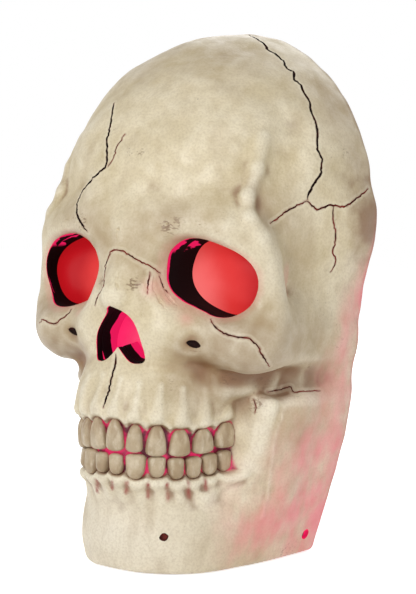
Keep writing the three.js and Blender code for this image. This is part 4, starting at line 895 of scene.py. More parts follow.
# Inside, the wall keeps one thickness but for the corners of the mouth and the bridge of the nose.
INNER_STEP = 2
INNER_BLEND = 4
INNER_BACK = 4
FLOOR = 3
mouth_corner = ball((47, -60, 68), (10, 11, 28))
inner_x, inner_y, inner_z = np.ix_(grid_x[::INNER_STEP], grid_y[::INNER_STEP], grid_z[::INNER_STEP])
solid_parts = np.minimum(mouth_corner(abs(inner_x), inner_y, inner_z), nasal_bone(inner_x, inner_y, inner_z))
inner = soft_max(whole[::INNER_STEP, ::INNER_STEP, ::INNER_STEP] + WALL, -solid_parts, INNER_BLEND)
inner = np.maximum(np.maximum(inner, FLOOR - inner_z), inner_y - INNER_BACK)
carve(skull, "DIFFERENCE", skinned("cavity", inner, CELL * INNER_STEP, lit.material))


def loft(name, rings, paint, ends=True):
    """A closed mesh through rings of as many points each, with flat ends or round again to the first ring."""
    count = len(rings[0])
    faces = []
    for ring in range(len(rings) - 1 if ends else len(rings)):
        low, high = ring * count, (ring + 1) % len(rings) * count
        faces += [(low + i, low + (i + 1) % count, high + (i + 1) % count, high + i) for i in range(count)]
    if ends:
        faces.append(tuple(range(count))[::-1])
        faces.append(tuple(range((len(rings) - 1) * count, len(rings) * count)))
    return facing_out(made(name, placed(np.concatenate(rings)), faces, paint))


# The back is sawn off flat.
SAW_CUT = 20
saw_face = np.array(((-120, 0, -20), (120, 0, -20), (120, 0, 330), (-120, 0, 330)), float)
carve(skull, "DIFFERENCE", loft("saw", [saw_face, saw_face + (0, SAW_CUT, 0)], bone.material))

# Openings for the eyes and the nose are cut through the face. Behind each eye is a pocket for its sleeve.
EYE_MOUTH_Y = -100
EYE_BACK_Y = -75
EYE_TAPER = 0.94
EYE_POINTS = 96
SKULL_FRONT = -152


def eye_ring(side, y, grow, share=1.0):
    """The outline of an eye's funnel at a depth, which narrows from its mouth to its back."""
    scale = (EYE_TAPER + (1 - EYE_TAPER) * (EYE_BACK_Y - y) / (EYE_BACK_Y - EYE_MOUTH_Y)) * share
    around = all_round(EYE_POINTS)
    across = squared(np.cos(around), 2 / EYE_POWER) * (EYE_RADII[0] + grow) * scale
    up = squared(np.sin(around), 2 / EYE_POWER) * (EYE_RADII[1] + grow) * scale
    x = EYE_AT[0] + across * math.cos(EYE_TURN) - up * math.sin(EYE_TURN)
    z = EYE_AT[1] + across * math.sin(EYE_TURN) + up * math.cos(EYE_TURN)
    return np.column_stack((side * x, np.broadcast_to(y, x.shape), z))


NOSE_MOUTH_Y = -118
NOSE_BACK_Y = -96
NOSE_TAPER = 0.8
NOSE_CENTRE_Z = 138
NOSE_STEPS = 16
NOSE_PEAK_Z = 148
NOSE_PEAK_ROUND = 3
NOSE_SIDE_ROUND = 12
NOSE_HALF_WIDTH = 16.5
NOSE_WIDEST_Z = 121
NOSE_LOBE_X = 11
NOSE_LOBE_Z = 116.5
NOSE_LOBE_ROUND = 4
NOSE_SPINE_Z = 125
NOSE_SPINE_WIDTH = 4


def bezier(points, steps):
    t = np.linspace(0, 1, steps, endpoint=False)[:, None]
    a, b, c, d = np.array(points, float)
    return a * (1 - t)**3 + 3 * b * t * (1 - t)**2 + 3 * c * t**2 * (1 - t) + d * t**3


def nose_ring(y, grow):
    """The outline of the nose's funnel at a depth: a peak, two lobes and the spine between them."""
    side = NOSE_HALF_WIDTH + grow
    peak = NOSE_PEAK_Z + grow
    floor = NOSE_LOBE_Z - grow
    spine = NOSE_SPINE_Z - grow
    half = np.concatenate((
        bezier(((0, peak), (NOSE_HALF_WIDTH / 2, peak - NOSE_PEAK_ROUND),
                (side, NOSE_WIDEST_Z + NOSE_SIDE_ROUND), (side, NOSE_WIDEST_Z)), NOSE_STEPS),
        bezier(((side, NOSE_WIDEST_Z), (side, NOSE_WIDEST_Z - NOSE_LOBE_ROUND - grow),
                (NOSE_LOBE_X + NOSE_LOBE_ROUND, floor), (NOSE_LOBE_X, floor)), NOSE_STEPS),
        bezier(((NOSE_LOBE_X, floor), (NOSE_LOBE_X - NOSE_LOBE_ROUND, floor),
                (NOSE_SPINE_WIDTH - grow / 2, spine - NOSE_LOBE_ROUND), (0, spine)), NOSE_STEPS),
        ((0, spine),)))
    outline = np.concatenate((half, half[-2:0:-1] * (-1, 1)))
    scale = np.interp(y, (NOSE_MOUTH_Y, NOSE_BACK_Y), (1, NOSE_TAPER))
    z = NOSE_CENTRE_Z + (outline[:, 1] - NOSE_CENTRE_Z) * scale
    return np.column_stack((outline[:, 0] * scale, np.broadcast_to(y, z.shape), z))


LINER_LAP = 0.6
LINER_WALL = 1.6
POCKET_FIT = 0.3
POCKET_FRONT = -88
for side in (-1, 1):
    rings = [eye_ring(side, y, 0) for y in (SKULL_FRONT, EYE_MOUTH_Y, EYE_BACK_Y)]
    carve(skull, "DIFFERENCE", loft("eye_cut", rings, edge.material))
    pocket = [eye_ring(side, y, LINER_LAP + LINER_WALL + POCKET_FIT) for y in (POCKET_FRONT, EYE_BACK_Y + 1)]
    carve(skull, "DIFFERENCE", loft("eye_pocket", pocket, lit.material))
nose_cut = [nose_ring(NOSE_MOUTH_Y, 0) + (0, SKULL_FRONT - NOSE_MOUTH_Y, 0)]
nose_cut.append(nose_ring(NOSE_MOUTH_Y, 0) + (0, NOSE_BACK_Y - NOSE_MOUTH_Y, 0))
carve(skull, "DIFFERENCE", loft("nose_cut", nose_cut, edge.material))

# A hole is punched for a tie on each side, near the lower end of the rim.
TIE_HOLE = (-12, 12)
TIE_RADIUS = 3
TIE_REACH = 99
HOLE_SEGMENTS = 32
flat = np.zeros(HOLE_SEGMENTS)
around = all_round(HOLE_SEGMENTS)
tie_ring = np.column_stack((
    flat, TIE_HOLE[0] + TIE_RADIUS * np.cos(around), TIE_HOLE[1] + TIE_RADIUS * np.sin(around)))
tie_rings = [tie_ring - (TIE_REACH, 0, 0), tie_ring + (TIE_REACH, 0, 0)]
carve(skull, "DIFFERENCE", loft("tie", tie_rings, lit.material))

# Bosses inside the rim take the screws of the back panel.
BOSS_RADIUS = 4
BOSS_BACK = -6.8
BOSS_LENGTH = 16
for screw in range(1, 7):
    low, high = (corner * 1000 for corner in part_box(f"panel_screw_{screw}"))
    middle = (low + high) / 2
    boss_ring = np.column_stack((
        middle.x + BOSS_RADIUS * np.cos(around), flat, middle.z + BOSS_RADIUS * np.sin(around)))
    boss = [boss_ring + (0, BOSS_BACK - BOSS_LENGTH, 0), boss_ring + (0, BOSS_BACK, 0)]
    carve(skull, "UNION", loft("boss", boss, bone.material))

# Cracks are scored into the master. Each is a route on the photograph, in pixels, that is laid on the
# surface.
CRACKS = (
    (crack_paint, 0.8, ((245, 33), (255, 38), (265, 44), (268, 50), (277, 55), (284, 62), (286, 68),
        (294, 72), (294, 80), (301, 85), (304, 93), (310, 102), (311, 111), (316, 123), (318, 137),
        (317, 149), (322, 159), (321, 174), (314, 184), (308, 195), (307, 201))),
    (fine_paint, 0.5, ((307, 201), (296, 206), (285, 212), (277, 219), (268, 225))),
    (fine_paint, 0.55, ((307, 201), (317, 210), (329, 205), (345, 207), (355, 200), (365, 192), (369, 188))),
    (fine_paint, 0.5, ((333, 206), (333, 221), (336, 233), (335, 244), (332, 251), (336, 259), (334, 267),
        (330, 273))),
    (crack_paint, 0.75, ((114, 103), (111, 122), (107, 141), (107, 159), (106, 167), (93, 178), (82, 191),
        (77, 204), (77, 215), (84, 228), (88, 232))),
    (fine_paint, 0.4, ((125, 134), (117, 146), (113, 159), (107, 168))),
    (fine_paint, 0.45, ((95, 306), (98, 295), (104, 286), (105, 266), (108, 260), (111, 251), (115, 250),
        (123, 251), (131, 256), (139, 261), (149, 265), (156, 270), (161, 274))),
    (fine_paint, 0.4, ((150, 272), (148, 283), (147, 295))),
    (fine_paint, 0.4, ((159, 276), (163, 287), (170, 296))),
    (fine_paint, 0.45, ((72, 309), (68, 315), (61, 319), (55, 324), (48, 322), (42, 319), (39, 324))),
    (fine_paint, 0.45, ((211, 319), (214, 326), (223, 333), (236, 337), (249, 338), (257, 345), (264, 358),
        (270, 368))),
    (crack_paint, 0.6, ((116, 354), (115, 366), (111, 380), (109, 391), (105, 401), (103, 409))),
    (fine_paint, 0.35, ((268, 392), (282, 389), (290, 386), (294, 392), (306, 391), (322, 391))),
    (fine_paint, 0.4, ((254, 400), (256, 406), (255, 413))),
)
CRACK_STEP = 1.1
CRACK_WOBBLE = 0.3
CRACK_TIP = 0.35
CRACK_TIP_STEPS = 5
CRACK_UNEVENNESS = (0.75, 1.2)
CRACK_SIDES = 8
crack_random = np.random.default_rng(7)
crack_points = []


def laid_on_skin(pixel):
    """Where the line of sight through a pixel of the photograph meets the skin."""
    offset = camera_right * (pixel[0] - PHOTO_WIDTH / 2) - camera_up * (pixel[1] - PHOTO_HEIGHT / 2)
    return skin_tree.ray_cast(camera_place, (offset / FOCAL_PIXELS - towards_camera).normalized())[0]


def scored(paint, radius, route, lift):
    """Scores a line into the skull with a round tool, held a lift above the skin, and gives its path."""
    route = np.array(route, float)
    lengths = np.concatenate(([0], np.cumsum(np.linalg.norm(np.diff(route, axis=0), axis=1))))
    walked = np.arange(0, lengths[-1], 2 * CRACK_STEP)
    pixels = np.column_stack([np.interp(walked, lengths, route[:, axis]) for axis in (0, 1)])
    pixels += crack_random.normal(scale=CRACK_WOBBLE, size=pixels.shape)
    laid = [spot + towards_camera * (lift / 1000) for spot in map(laid_on_skin, pixels) if spot]
    ends = np.minimum(np.arange(len(laid)), np.arange(len(laid))[::-1]) / CRACK_TIP_STEPS
    radii = radius * np.clip(CRACK_TIP + ends, 0, 1) * crack_random.uniform(*CRACK_UNEVENNESS, len(laid))
    carve(skull, "DIFFERENCE", tube("score", laid, radii, CRACK_SIDES, paint.material))
    return laid


for paint, radius, route in CRACKS:
    crack_points += scored(paint, radius, route, 0)

# Wrinkles beside the nose, and the openings for nerves below the eyes and on the jaw.
WRINKLES = (
    ((147, 266), (144, 280), (146, 294), (150, 304)), ((155, 272), (154, 286), (160, 300), (170, 312)),
    ((163, 282), (168, 294), (178, 306)), ((128, 276), (134, 282), (132, 292)),
    ((118, 268), (116, 280), (119, 294)), ((160, 230), (166, 224), (176, 222)), ((163, 236), (172, 233)),
    ((120, 222), (116, 234), (117, 244)),
)
WRINKLE_RADIUS = 1.5
for route in WRINKLES:
    scored(bone, WRINKLE_RADIUS, route, 1)
NERVE_OPENINGS = (
    (crack_paint, (189, 343), (200, 346)), (crack_paint, (71, 330), (77, 334)),
    (fine_paint, (161, 538), (168, 536)))
OPENING_SHARES = (-0.25, -0.1, 0.1, 0.4, 0.7, 0.9, 1.05)
OPENING_RADII = (0.4, 1.2, 1.8, 2.3, 2, 1.3, 0.4)
OPENING_SIDES = 14
for paint, *ends in NERVE_OPENINGS:
    start, end = map(laid_on_skin, ends)
    path = [start.lerp(end, share) for share in OPENING_SHARES]
    carve(skull, "DIFFERENCE", tube("opening", path, OPENING_RADII, OPENING_SIDES, paint.material))


def smoothed(piece, angle):
    """Smooth faces, with an edge wherever two of them meet at more than an angle."""
    piece.data.shade_smooth()
    piece.data.set_sharp_from_angle(angle=math.radians(angle))


def corners_of(piece):
    places = np.empty(len(piece.data.vertices) * 3, np.float32)
    piece.data.vertices.foreach_get("co", places)
    return places.reshape(-1, 3)


def cleared(piece):
    """Takes stray faces away: only the largest part that hangs together is kept."""
    work = bmesh.new()
    work.from_mesh(piece.data)
    unseen = set(work.verts)
    parts = []
    while unseen:
        reached = [unseen.pop()]
        for vertex in reached:
            beside = [link.other_vert(vertex) for link in vertex.link_edges]
            fresh = [other for other in beside if other in unseen]
            unseen.difference_update(fresh)
            reached += fresh
        parts.append(reached)
    parts.sort(key=len)
    bmesh.ops.delete(work, geom=[vertex for part in parts[:-1] for vertex in part], context="VERTS")
    work.to_mesh(piece.data)
    work.free()


# The inner wall is plain, so most of its faces are taken out.
INNER_LEVEL = -1.4
INNER_KEPT = 0.1
on_inner = sample(whole, corners_of(skull) * 1000.0 - (0, RIM_Y, 0)) < INNER_LEVEL
inner_group = skull.vertex_groups.new(name="inner_wall")
inner_group.add(np.nonzero(on_inner)[0].tolist(), 1.0, "REPLACE")
thinning = skull.modifiers.new("thinning", "DECIMATE")
thinning.ratio = 1 - on_inner.mean() * (1 - INNER_KEPT)
thinning.vertex_group = inner_group.name
settled(skull)
cleared(skull)

# Masks for paint, dirt, painted shade and painted highlight: in hollows and on ridges, by cracks, round the
# openings, between the teeth and towards the lit rim. Hollows and ridges are found by how the clay's field
# changes over a few reaches.
SKIN_LEVEL = -0.6
HOLLOW_REACHES = (4, 10, 20)
BEND_REACHES = ((2.5, 0.3), (6, 1.0))
NEAR = 1.5
OBLIQUE = (0.3, 0.2, 0.93)
CRACK_SPREAD = 4
TOOTH_LEVEL = 0.3
TOOTH_RIM = 1.2
TOOTH_HEIGHTS = (42, 98)
OUTLINE_SPREAD = 1.3
BLUSH_SPREAD = 4
BLUSH_BACK = -60
smoothed(skull, 42)
spots = corners_of(skull)
count = len(spots)
normals = np.empty(count * 3, np.float32)
skull.data.vertex_normals.foreach_get("vector", normals)
normals = normals.reshape(-1, 3)
mould = spots * 1000.0 - (0, RIM_Y, 0)
level = sample(whole, mould)
rise = np.maximum((sample(whole, mould + normals * NEAR) - level) / NEAR, 0.3)
hollow_parts = [
    1 - (sample(whole, mould + normals * reach) - level) / (rise * reach) for reach in HOLLOW_REACHES]
sideways = np.cross(normals, OBLIQUE)
sideways /= np.maximum(np.linalg.norm(sideways, axis=1, keepdims=True), 1e-6)
upwards = np.cross(normals, sideways)
bends = []
for reach, most in BEND_REACHES:
    beside = [sample(whole, mould + way * reach) for way in (sideways, -sideways, upwards, -upwards)]
    bends.append((sum(beside) / 4 - level) / most)
on_skin = level > SKIN_LEVEL
sunk = sum(np.clip(-bend, 0, 1) for bend in bends) * on_skin
marked(skull, "hollow", sum(np.clip(part, 0, 1) for part in hollow_parts) * 0.35 + sunk * 0.3)
marked(skull, "ridge", np.clip(bends[0], 0, 1) * on_skin)
marked(skull, "front", np.clip(1 + level / 4, 0, 1))
crack_tree = kdtree.KDTree(len(crack_points))
for index, spot in enumerate(crack_points):
    crack_tree.insert(spot, index)
crack_tree.balance()
crack_away = np.array([crack_tree.find(spot)[2] * 1000 for spot in spots])
marked(skull, "crack", np.clip(1 - crack_away / CRACK_SPREAD, 0, 1))
mouth = mouth_share(abs(mould[:, 0]), mould[:, 1], mould[:, 2])
front = mould[:, 1] < ARCH_CENTRE_Y
is_tooth = (level > TOOTH_LEVEL) & front & (mouth > 0.2)
marked(skull, "tooth", is_tooth)
marked(skull, "gap", np.clip((mouth - 0.75) * 6, 0, 1) * front * ~is_tooth)
outlines = np.where(is_tooth, np.clip(1 - (level - TOOTH_LEVEL) / TOOTH_RIM, 0, 1) * 0.8, 0)
by_teeth = (mould[:, 2] > TOOTH_HEIGHTS[0]) & (mould[:, 2] < TOOTH_HEIGHTS[1])
for index in np.nonzero(front & ~is_tooth & by_teeth)[0]:
    away = min(tree.find_nearest(spots[index])[3] for tree in tooth_trees) * 1000
    outlines[index] = max(1 - away / OUTLINE_SPREAD, 0)
marked(skull, "outline", outlines)
eye_away = (eye_level(abs(mould[:, 0]), mould[:, 2], 0) - 1) * EYE_RADII[1]
marked(skull, "blush", np.clip(1 - eye_away / BLUSH_SPREAD, 0, 1) * (mould[:, 1] < BLUSH_BACK))


# Coats go over the face: brown airbrush mixed with painted shade under the cheekbones and in the hollows,
# a painted pink glow, paler paint with painted highlights along the jaw's edge and ledge, grit and clean
# places. Each row is a place on the photograph, in pixels, how far the paint spreads and its share. Dirt
# lies on the rim, light from inside reddens the thin wall towards it as painted glow, and the teeth are kept
# clean.
SPRAYS_AND_PAINTED_LIGHT = {
    "brown": (
        (250, 338, 30, 0.58), (225, 350, 18, 0.3), (300, 345, 26, 0.42), (322, 330, 18, 0.2),
        (215, 372, 10, 0.5), (240, 376, 11, 0.7), (265, 377, 10, 0.75), (290, 378, 9, 0.65),
        (315, 376, 10, 0.45), (333, 370, 10, 0.3), (190, 225, 26, 0.34), (130, 240, 22, 0.32),
        (232, 390, 12, 0.4), (275, 205, 18, 0.35), (300, 240, 20, 0.2), (345, 120, 26, 0.32),
        (225, 55, 42, 0.4), (195, 390, 18, 0.36), (165, 228, 14, 0.3), (145, 270, 18, 0.28),
        (330, 90, 24, 0.36), (165, 385, 16, 0.2), (300, 430, 22, 0.42), (200, 522, 24, 0.16),
        (290, 270, 18, 0.22), (300, 490, 20, 0.14), (215, 240, 14, 0.2), (222, 370, 15, 0.36),
        (252, 371, 13, 0.4), (235, 345, 16, 0.2), (205, 366, 13, 0.3), (280, 352, 14, 0.2),
        (253, 184, 7, 0.4), (257, 204, 7, 0.45), (266, 222, 8, 0.35), (322, 362, 12, 0.2), (80, 345, 12, 0.4),
        (195, 345, 12, 0.25), (358, 160, 12, 0.35), (352, 300, 12, 0.25),
    ),
    "pink": (
        (300, 440, 26, 0.35), (318, 450, 22, 0.3), (306, 490, 28, 0.45), (280, 525, 30, 0.45),
        (250, 552, 26, 0.4), (311, 514, 20, 0.4), (340, 340, 20, 0.25), (318, 385, 16, 0.3),
        (225, 500, 26, 0.16), (152, 288, 7, 0.4), (168, 300, 6, 0.4), (185, 318, 6, 0.4),
    ),
    "pale": (
        (120, 548, 24, 0.5), (267, 412, 5, 0.6), (262, 430, 5, 0.6), (257, 448, 5, 0.6), (249, 466, 6, 0.6),
        (234, 484, 6, 0.5), (212, 499, 7, 0.4), (170, 560, 40, 0.5), (120, 520, 30, 0.4), (266, 402, 7, 0.6),
        (285, 396, 7, 0.6), (310, 393, 7, 0.5), (250, 425, 9, 0.4),
    ),
    "grit": (
        (285, 551, 7, 0.7), (296, 547, 6, 0.6), (168, 226, 6, 0.9), (180, 222, 5, 0.5), (134, 284, 6, 0.9),
        (200, 224, 5, 0.5), (255, 405, 6, 0.9), (228, 378, 8, 0.8), (262, 382, 8, 0.7), (195, 350, 6, 0.5),
        (112, 130, 7, 0.4), (140, 152, 4, 0.7), (300, 398, 5, 0.5), (340, 345, 7, 0.6), (310, 365, 4, 0.7),
        (170, 385, 8, 0.5), (345, 150, 8, 0.6), (95, 345, 6, 0.5),
    ),
    "clean": (
        (244, 428, 9, 0.9), (242, 458, 9, 0.9), (228, 494, 9, 0.9), (262, 430, 9, 0.6),
    ),
}
RIM_DIRT_REACH = 3
RIM_GLOW_REACH = 42
RIM_GLOW_TOP = 215
RIM_GLOW_FADE = 60
rim_glow = np.clip(1 + mould[:, 1] / RIM_GLOW_REACH, 0, 1)**2
rim_glow = rim_glow * np.clip((RIM_GLOW_TOP - mould[:, 2]) / RIM_GLOW_FADE, 0, 1)
rim_dirt = np.clip(1 + mould[:, 1] / RIM_DIRT_REACH, 0, 1)
first_coats = {"brown": rim_dirt * 0.7, "pink": rim_glow * 0.75, "clean": is_tooth * 0.85}
for name, rows in SPRAYS_AND_PAINTED_LIGHT.items():
    bare = np.ones(count) - first_coats.get(name, 0)
    for *pixel, spread, share in rows:
        nozzle = np.array(laid_on_skin(pixel))
        away = np.minimum(*(np.linalg.norm(spots - nozzle * (side, 1, 1), axis=1) for side in (-1, 1))) * 1000
        bare *= 1 - share * np.exp(-(away / spread)**2)
    marked(skull, name, 1 - bare)

# Red paint has run down the gum below the lower teeth.
RED_RUNS = (
    ((97, 480), (97, 492)), ((127, 482), (126, 493)), ((148, 484), (148, 497)), ((167, 484), (168, 499)),
    ((188, 482), (189, 496)), ((205, 480), (206, 489)), ((112, 482), (112, 489)),
)
RUN_SPREAD = 1.6
run_away = np.full(count, 99.0)
for run in RED_RUNS:
    start, end = (laid_on_skin(pixel) * 1000 for pixel in run)
    run_away = np.minimum(run_away, bar(start, end, 0, 0)(*(spots.T * 1000.0)))
marked(skull, "red", np.clip(1 - run_away / RUN_SPREAD, 0, 1))
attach(skull, "skull")
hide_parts("skull_shell")


# Eye liners: matt black sleeves pushed into the eye openings from behind, brushed over at their front edge
# so that light still shows there. Each holds a domed red lens on a ledge at its back.
LINER_FRONT_FIT = 0.4
LEDGE = 2.4
LEDGE_THICK = 1.6
SLEEVE_RINGS = 9
SLEEVE_LEAST = 4
SLEEVE_SEARCH = 0.5
SLEEVE_SMOOTHING = 7
black = Paint("black_plastic", {"Roughness": 0.62})
black.feed("Base Color", black.clouds(3, 3, 0.45, 0.75, tint(12, 10, 11), tint(44, 38, 38)))
black.bump(black.noise(1.2, 3), 0.12)
sleeve = brushed("sleeve", 0.8)


def sleeve_front(ring_at, first, last):
    """How far forward a sleeve reaches at each point of its outline: to the inner face of the skull."""
    front = np.full(len(ring_at(first)), float(last))
    for y in np.arange(first, last, SLEEVE_SEARCH)[::-1]:
        inside = sample(whole, ring_at(y)) < -WALL - LINER_FRONT_FIT
        front = np.where(inside, y, front)
    lap = SLEEVE_SMOOTHING // 2
    smooth = np.ones(SLEEVE_SMOOTHING) / SLEEVE_SMOOTHING
    return np.convolve(np.concatenate((front[-lap:], front, front[:lap])), smooth, "valid")


def sleeve_at(ring_at, depths, grow):
    """The outline of a sleeve where each of its points has a depth of its own."""
    return np.array([ring_at(y, grow)[i] for i, y in enumerate(depths)])


def liner(name, ring_at, first, back, paint):
    """A sleeve from the inner face of the skull to its back, with a ledge there."""
    front = sleeve_front(lambda y: ring_at(y, LINER_LAP + LINER_WALL / 2), first, back - SLEEVE_LEAST)
    steps = np.linspace(0, 1, SLEEVE_RINGS)
    inner = [sleeve_at(ring_at, front + (back - LEDGE_THICK - front) * step, LINER_LAP) for step in steps]
    ledge = [ring_at(back - LEDGE_THICK, LINER_LAP - LEDGE), ring_at(back, LINER_LAP - LEDGE)]
    outer = [
        sleeve_at(ring_at, front + (back - front) * step, LINER_LAP + LINER_WALL) for step in steps[::-1]]
    piece = loft(name, inner + ledge + outer, paint.material, ends=False)
    share = np.concatenate((1 - steps, (0, 0), 1 - steps[::-1]))
    marked(piece, "front", np.repeat(share, len(front)))
    smoothed(piece, 40)
    return piece


LENS_BACK = -78.5
LENS_THICK = 2
LENS_DOME = 4
LENS_FIT = 0.3
LENS_RINGS = 14
LENS_CENTRE = 0.02
LENS_GLOW_AT = (22, 155)
LENS_GLOW_REACH = (("left", -1, 34), ("right", 1, 50))
EYE_LINER_FRONT = -112
lens = Paint("red_lens", {"Roughness": 0.4, "IOR": 1.45, "Emission Strength": 1.0, "Specular IOR Level": 0.2})
# The lens is painted lighter near a point between the eyes and darker outwards, and glows a little: painted
# glow of the lamp behind it.
lens_spread = lens.attribute("spread")
lens_cloud = (lens.noise(11, 3) - 0.5) * 0.12
lens_red = lens.over(lens.ramp(lens_spread + lens_cloud, 0.15, 0.66), tint(244, 112, 110), tint(214, 52, 50))
lens_red = lens.over(lens.ramp(lens_spread + lens_cloud, 0.6, 1.0), lens_red, tint(176, 16, 24))
lens.feed("Base Color", lens.over(0.8, lens_red, tint(70, 4, 8)))
lens.feed("Emission Color", lens.over(0.12, lens_red, tint(0, 0, 0)))
lens.bump(lens.noise(5, 2), 0.1)
for suffix, side, reach in LENS_GLOW_REACH:
    eye_liner = liner(
        f"eye_liner_{suffix}_piece", lambda y, grow: eye_ring(side, y, grow), EYE_LINER_FRONT, EYE_BACK_Y,
        sleeve)
    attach(eye_liner, "skull")
    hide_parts(f"eye_liner_{suffix}")
    rear = [
        eye_ring(side, LENS_BACK - LENS_DOME * (1 - share**2), LINER_LAP - LENS_FIT, share)
        for share in np.linspace(LENS_CENTRE, 1, LENS_RINGS)]
    face = [ring - (0, LENS_THICK, 0) for ring in rear[::-1]]
    dome = loft(f"eye_lens_{suffix}_piece", rear + face, lens.material)
    smoothed(dome, 50)
    dome_spots = np.concatenate(rear + face)
    away = np.hypot(abs(dome_spots[:, 0]) - LENS_GLOW_AT[0], dome_spots[:, 2] - LENS_GLOW_AT[1])
    marked(dome, "spread", away / reach)
    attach(dome, "skull")
    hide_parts(f"eye_lens_{suffix}")


# Nose: a black funnel behind the nose opening with the same brushed edge, and a flat magenta pane at its
# back, whose glow from the lamp behind it is painted in as emission.
NOSE_LINER_FRONT = -124
NOSE_PANE_BACK = -97.9
NOSE_PANE_THICK = 1.6
NOSE_PAINT_END = 0.42
funnel = brushed("brushed_funnel", 0.8, NOSE_PAINT_END)
nose_liner = liner("nose_liner_piece", nose_ring, NOSE_LINER_FRONT, NOSE_BACK_Y, funnel)
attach(nose_liner, "skull")
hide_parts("nose_liner")
pane = Paint("magenta_pane", {"Roughness": 0.35, "Base Color": tint(120, 10, 44), "Emission Strength": 1.0})
pane.feed("Emission Color", pane.clouds(16, 2, 0.35, 0.7, tint(236, 34, 96), tint(214, 22, 82)))
pane_rings = [nose_ring(NOSE_BACK_Y, LINER_LAP - LENS_FIT) + (0, y - NOSE_BACK_Y, 0)
              for y in (NOSE_PANE_BACK - NOSE_PANE_THICK, NOSE_PANE_BACK)]
nose_pane = loft("nose_pane_piece", pane_rings, pane.material)
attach(nose_pane, "skull")
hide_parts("nose_pane")


# Back panel, battery door and switch knob: plain grey and black mouldings with broken edges and a fine
# texture.
grey = Paint("panel_grey", {"IOR": 1.46})
grey.feed("Base Color", grey.clouds(26, 4, 0.35, 0.7, tint(146, 141, 135), tint(132, 127, 121)))
grey.feed("Roughness", 0.5 + (grey.noise(4, 3) - 0.5) * 0.2)
grey.bump(grey.noise(0.6, 2), 0.08)
SAME_PLACE = 1e-6
SAME_FACE = math.radians(1)
EDGE_ANGLE = math.radians(40)
EDGE_SEGMENTS = 2


def dressed(node, body, slot, paint, edge=0.4, cuts=()):
    """A CAD piece with joined corners, broken edges, grooves cut into it and smooth round faces."""
    mesh = frame["nodes"][node].data.copy()
    work = bmesh.new()
    work.from_mesh(mesh)
    bmesh.ops.remove_doubles(work, verts=work.verts, dist=SAME_PLACE)
    bmesh.ops.dissolve_limit(work, angle_limit=SAME_FACE, verts=work.verts, edges=work.edges)
    work.to_mesh(mesh)
    work.free()
    mesh.materials.clear()
    mesh.materials.append(paint.material)
    piece = bpy.data.objects.new(f"{node}_piece", mesh)
    scene.collection.objects.link(piece)
    modifier = piece.modifiers.new("edges", "BEVEL")
    modifier.width = edge / 1000
    modifier.segments = EDGE_SEGMENTS
    modifier.limit_method = "ANGLE"
    modifier.angle_limit = EDGE_ANGLE
    settled(piece)
    for cut in cuts:
        carve(piece, "DIFFERENCE", cut)
    smoothed(piece, 35)
    evening = piece.modifiers.new("normals", "WEIGHTED_NORMAL")
    evening.keep_sharp = True
    settled(piece)
    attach(piece, body)
    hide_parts(node)
    return piece


# The back has a groove along its outline, one round the switch and the marks of the mould's ejector pins.
# The door has three grooves for a fingertip.
BACK_FACE = -4
BORDER_INSET = 15
BORDER_LOW = 18
BORDER_STEPS = 48
BORDER_GROOVE = (1.1, 0.8)
SWITCH_AT = (40, 140)
SWITCH_FRAME = (9, 15)
SWITCH_SQUARENESS = 0.4
SWITCH_GROOVE = (0.7, 0.6)
CUT_PROUD = 0.3
CUT_SEGMENTS = 28
EJECTORS = ((-48, 92), (48, 92), (-52, 196), (52, 196), (0, 40), (0, 276))
EJECTOR_RADIUS = 4
EJECTOR_DEPTH = 0.3
EJECTOR_TAPER = 0.97
GRIP_HEIGHTS = (151, 154, 157)
GRIP_HALF = (9, 0.8)
GRIP_DEPTH = 0.7
GRIP_TAPER = 0.9


def square_to(path):
    """For each corner of a closed path in x and z, the way square to it."""
    ahead = np.roll(path, -1, axis=0) - np.roll(path, 1, axis=0)
    return np.column_stack((ahead[:, 1], -ahead[:, 0])) / np.linalg.norm(ahead, axis=1, keepdims=True)


def groove(path, half_width, depth):
    """What cuts a groove along a closed path in x and z into the back."""
    floor = half_width / 2
    section = ((-half_width, CUT_PROUD), (half_width, CUT_PROUD), (floor, -depth), (-floor, -depth))
    rings = [np.array([(x + across * out, BACK_FACE + y, z + up * out) for out, y in section])
             for (x, z), (across, up) in zip(path, square_to(path))]
    return loft("groove", rings, grey.material, ends=False)


def sunk_in(centre, path, depth, taper):
    """What sinks a flat-bottomed shape, given by its outline in x and z about a centre, into the back."""
    rings = [np.array([(centre[0] + x * size, BACK_FACE + y, centre[1] + z * size) for x, z in path])
             for y, size in ((CUT_PROUD, 1), (-depth, taper))]
    return loft("sunk_shape", rings, grey.material)


border_heights = np.linspace(BORDER_LOW, VAULT_AT[2], BORDER_STEPS)
vault_rises = (border_heights - VAULT_AT[2]) / VAULT_RADII[2]
vault_widths = VAULT_RADII[0] * np.sqrt(np.maximum(1 - vault_rises**2, 0))
border_side = np.column_stack((np.maximum(rim_width(border_heights), vault_widths), border_heights))
border_arc = np.linspace(0, math.pi, BORDER_STEPS)[1:-1]
border_top = np.column_stack((
    np.cos(border_arc) * VAULT_RADII[0], VAULT_AT[2] + np.sin(border_arc) * VAULT_RADII[2]))
border = np.concatenate((border_side, border_top, border_side[::-1] * (-1, 1)))
border_ways = square_to(border)
border_ways[[0, -1]] = (1, 0), (-1, 0)
turn = all_round(CUT_SEGMENTS)
switch_frame = np.column_stack((
    SWITCH_AT[0] + SWITCH_FRAME[0] * squared(np.cos(turn), SWITCH_SQUARENESS),
    SWITCH_AT[1] + SWITCH_FRAME[1] * squared(np.sin(turn), SWITCH_SQUARENESS)))
ejector = np.column_stack((np.cos(turn), np.sin(turn))) * EJECTOR_RADIUS
grip = np.array(((-1, -1), (1, -1), (1, 1), (-1, 1))) * GRIP_HALF
panel_cuts = [groove(border - border_ways * BORDER_INSET, *BORDER_GROOVE)]
panel_cuts.append(groove(switch_frame, *SWITCH_GROOVE))
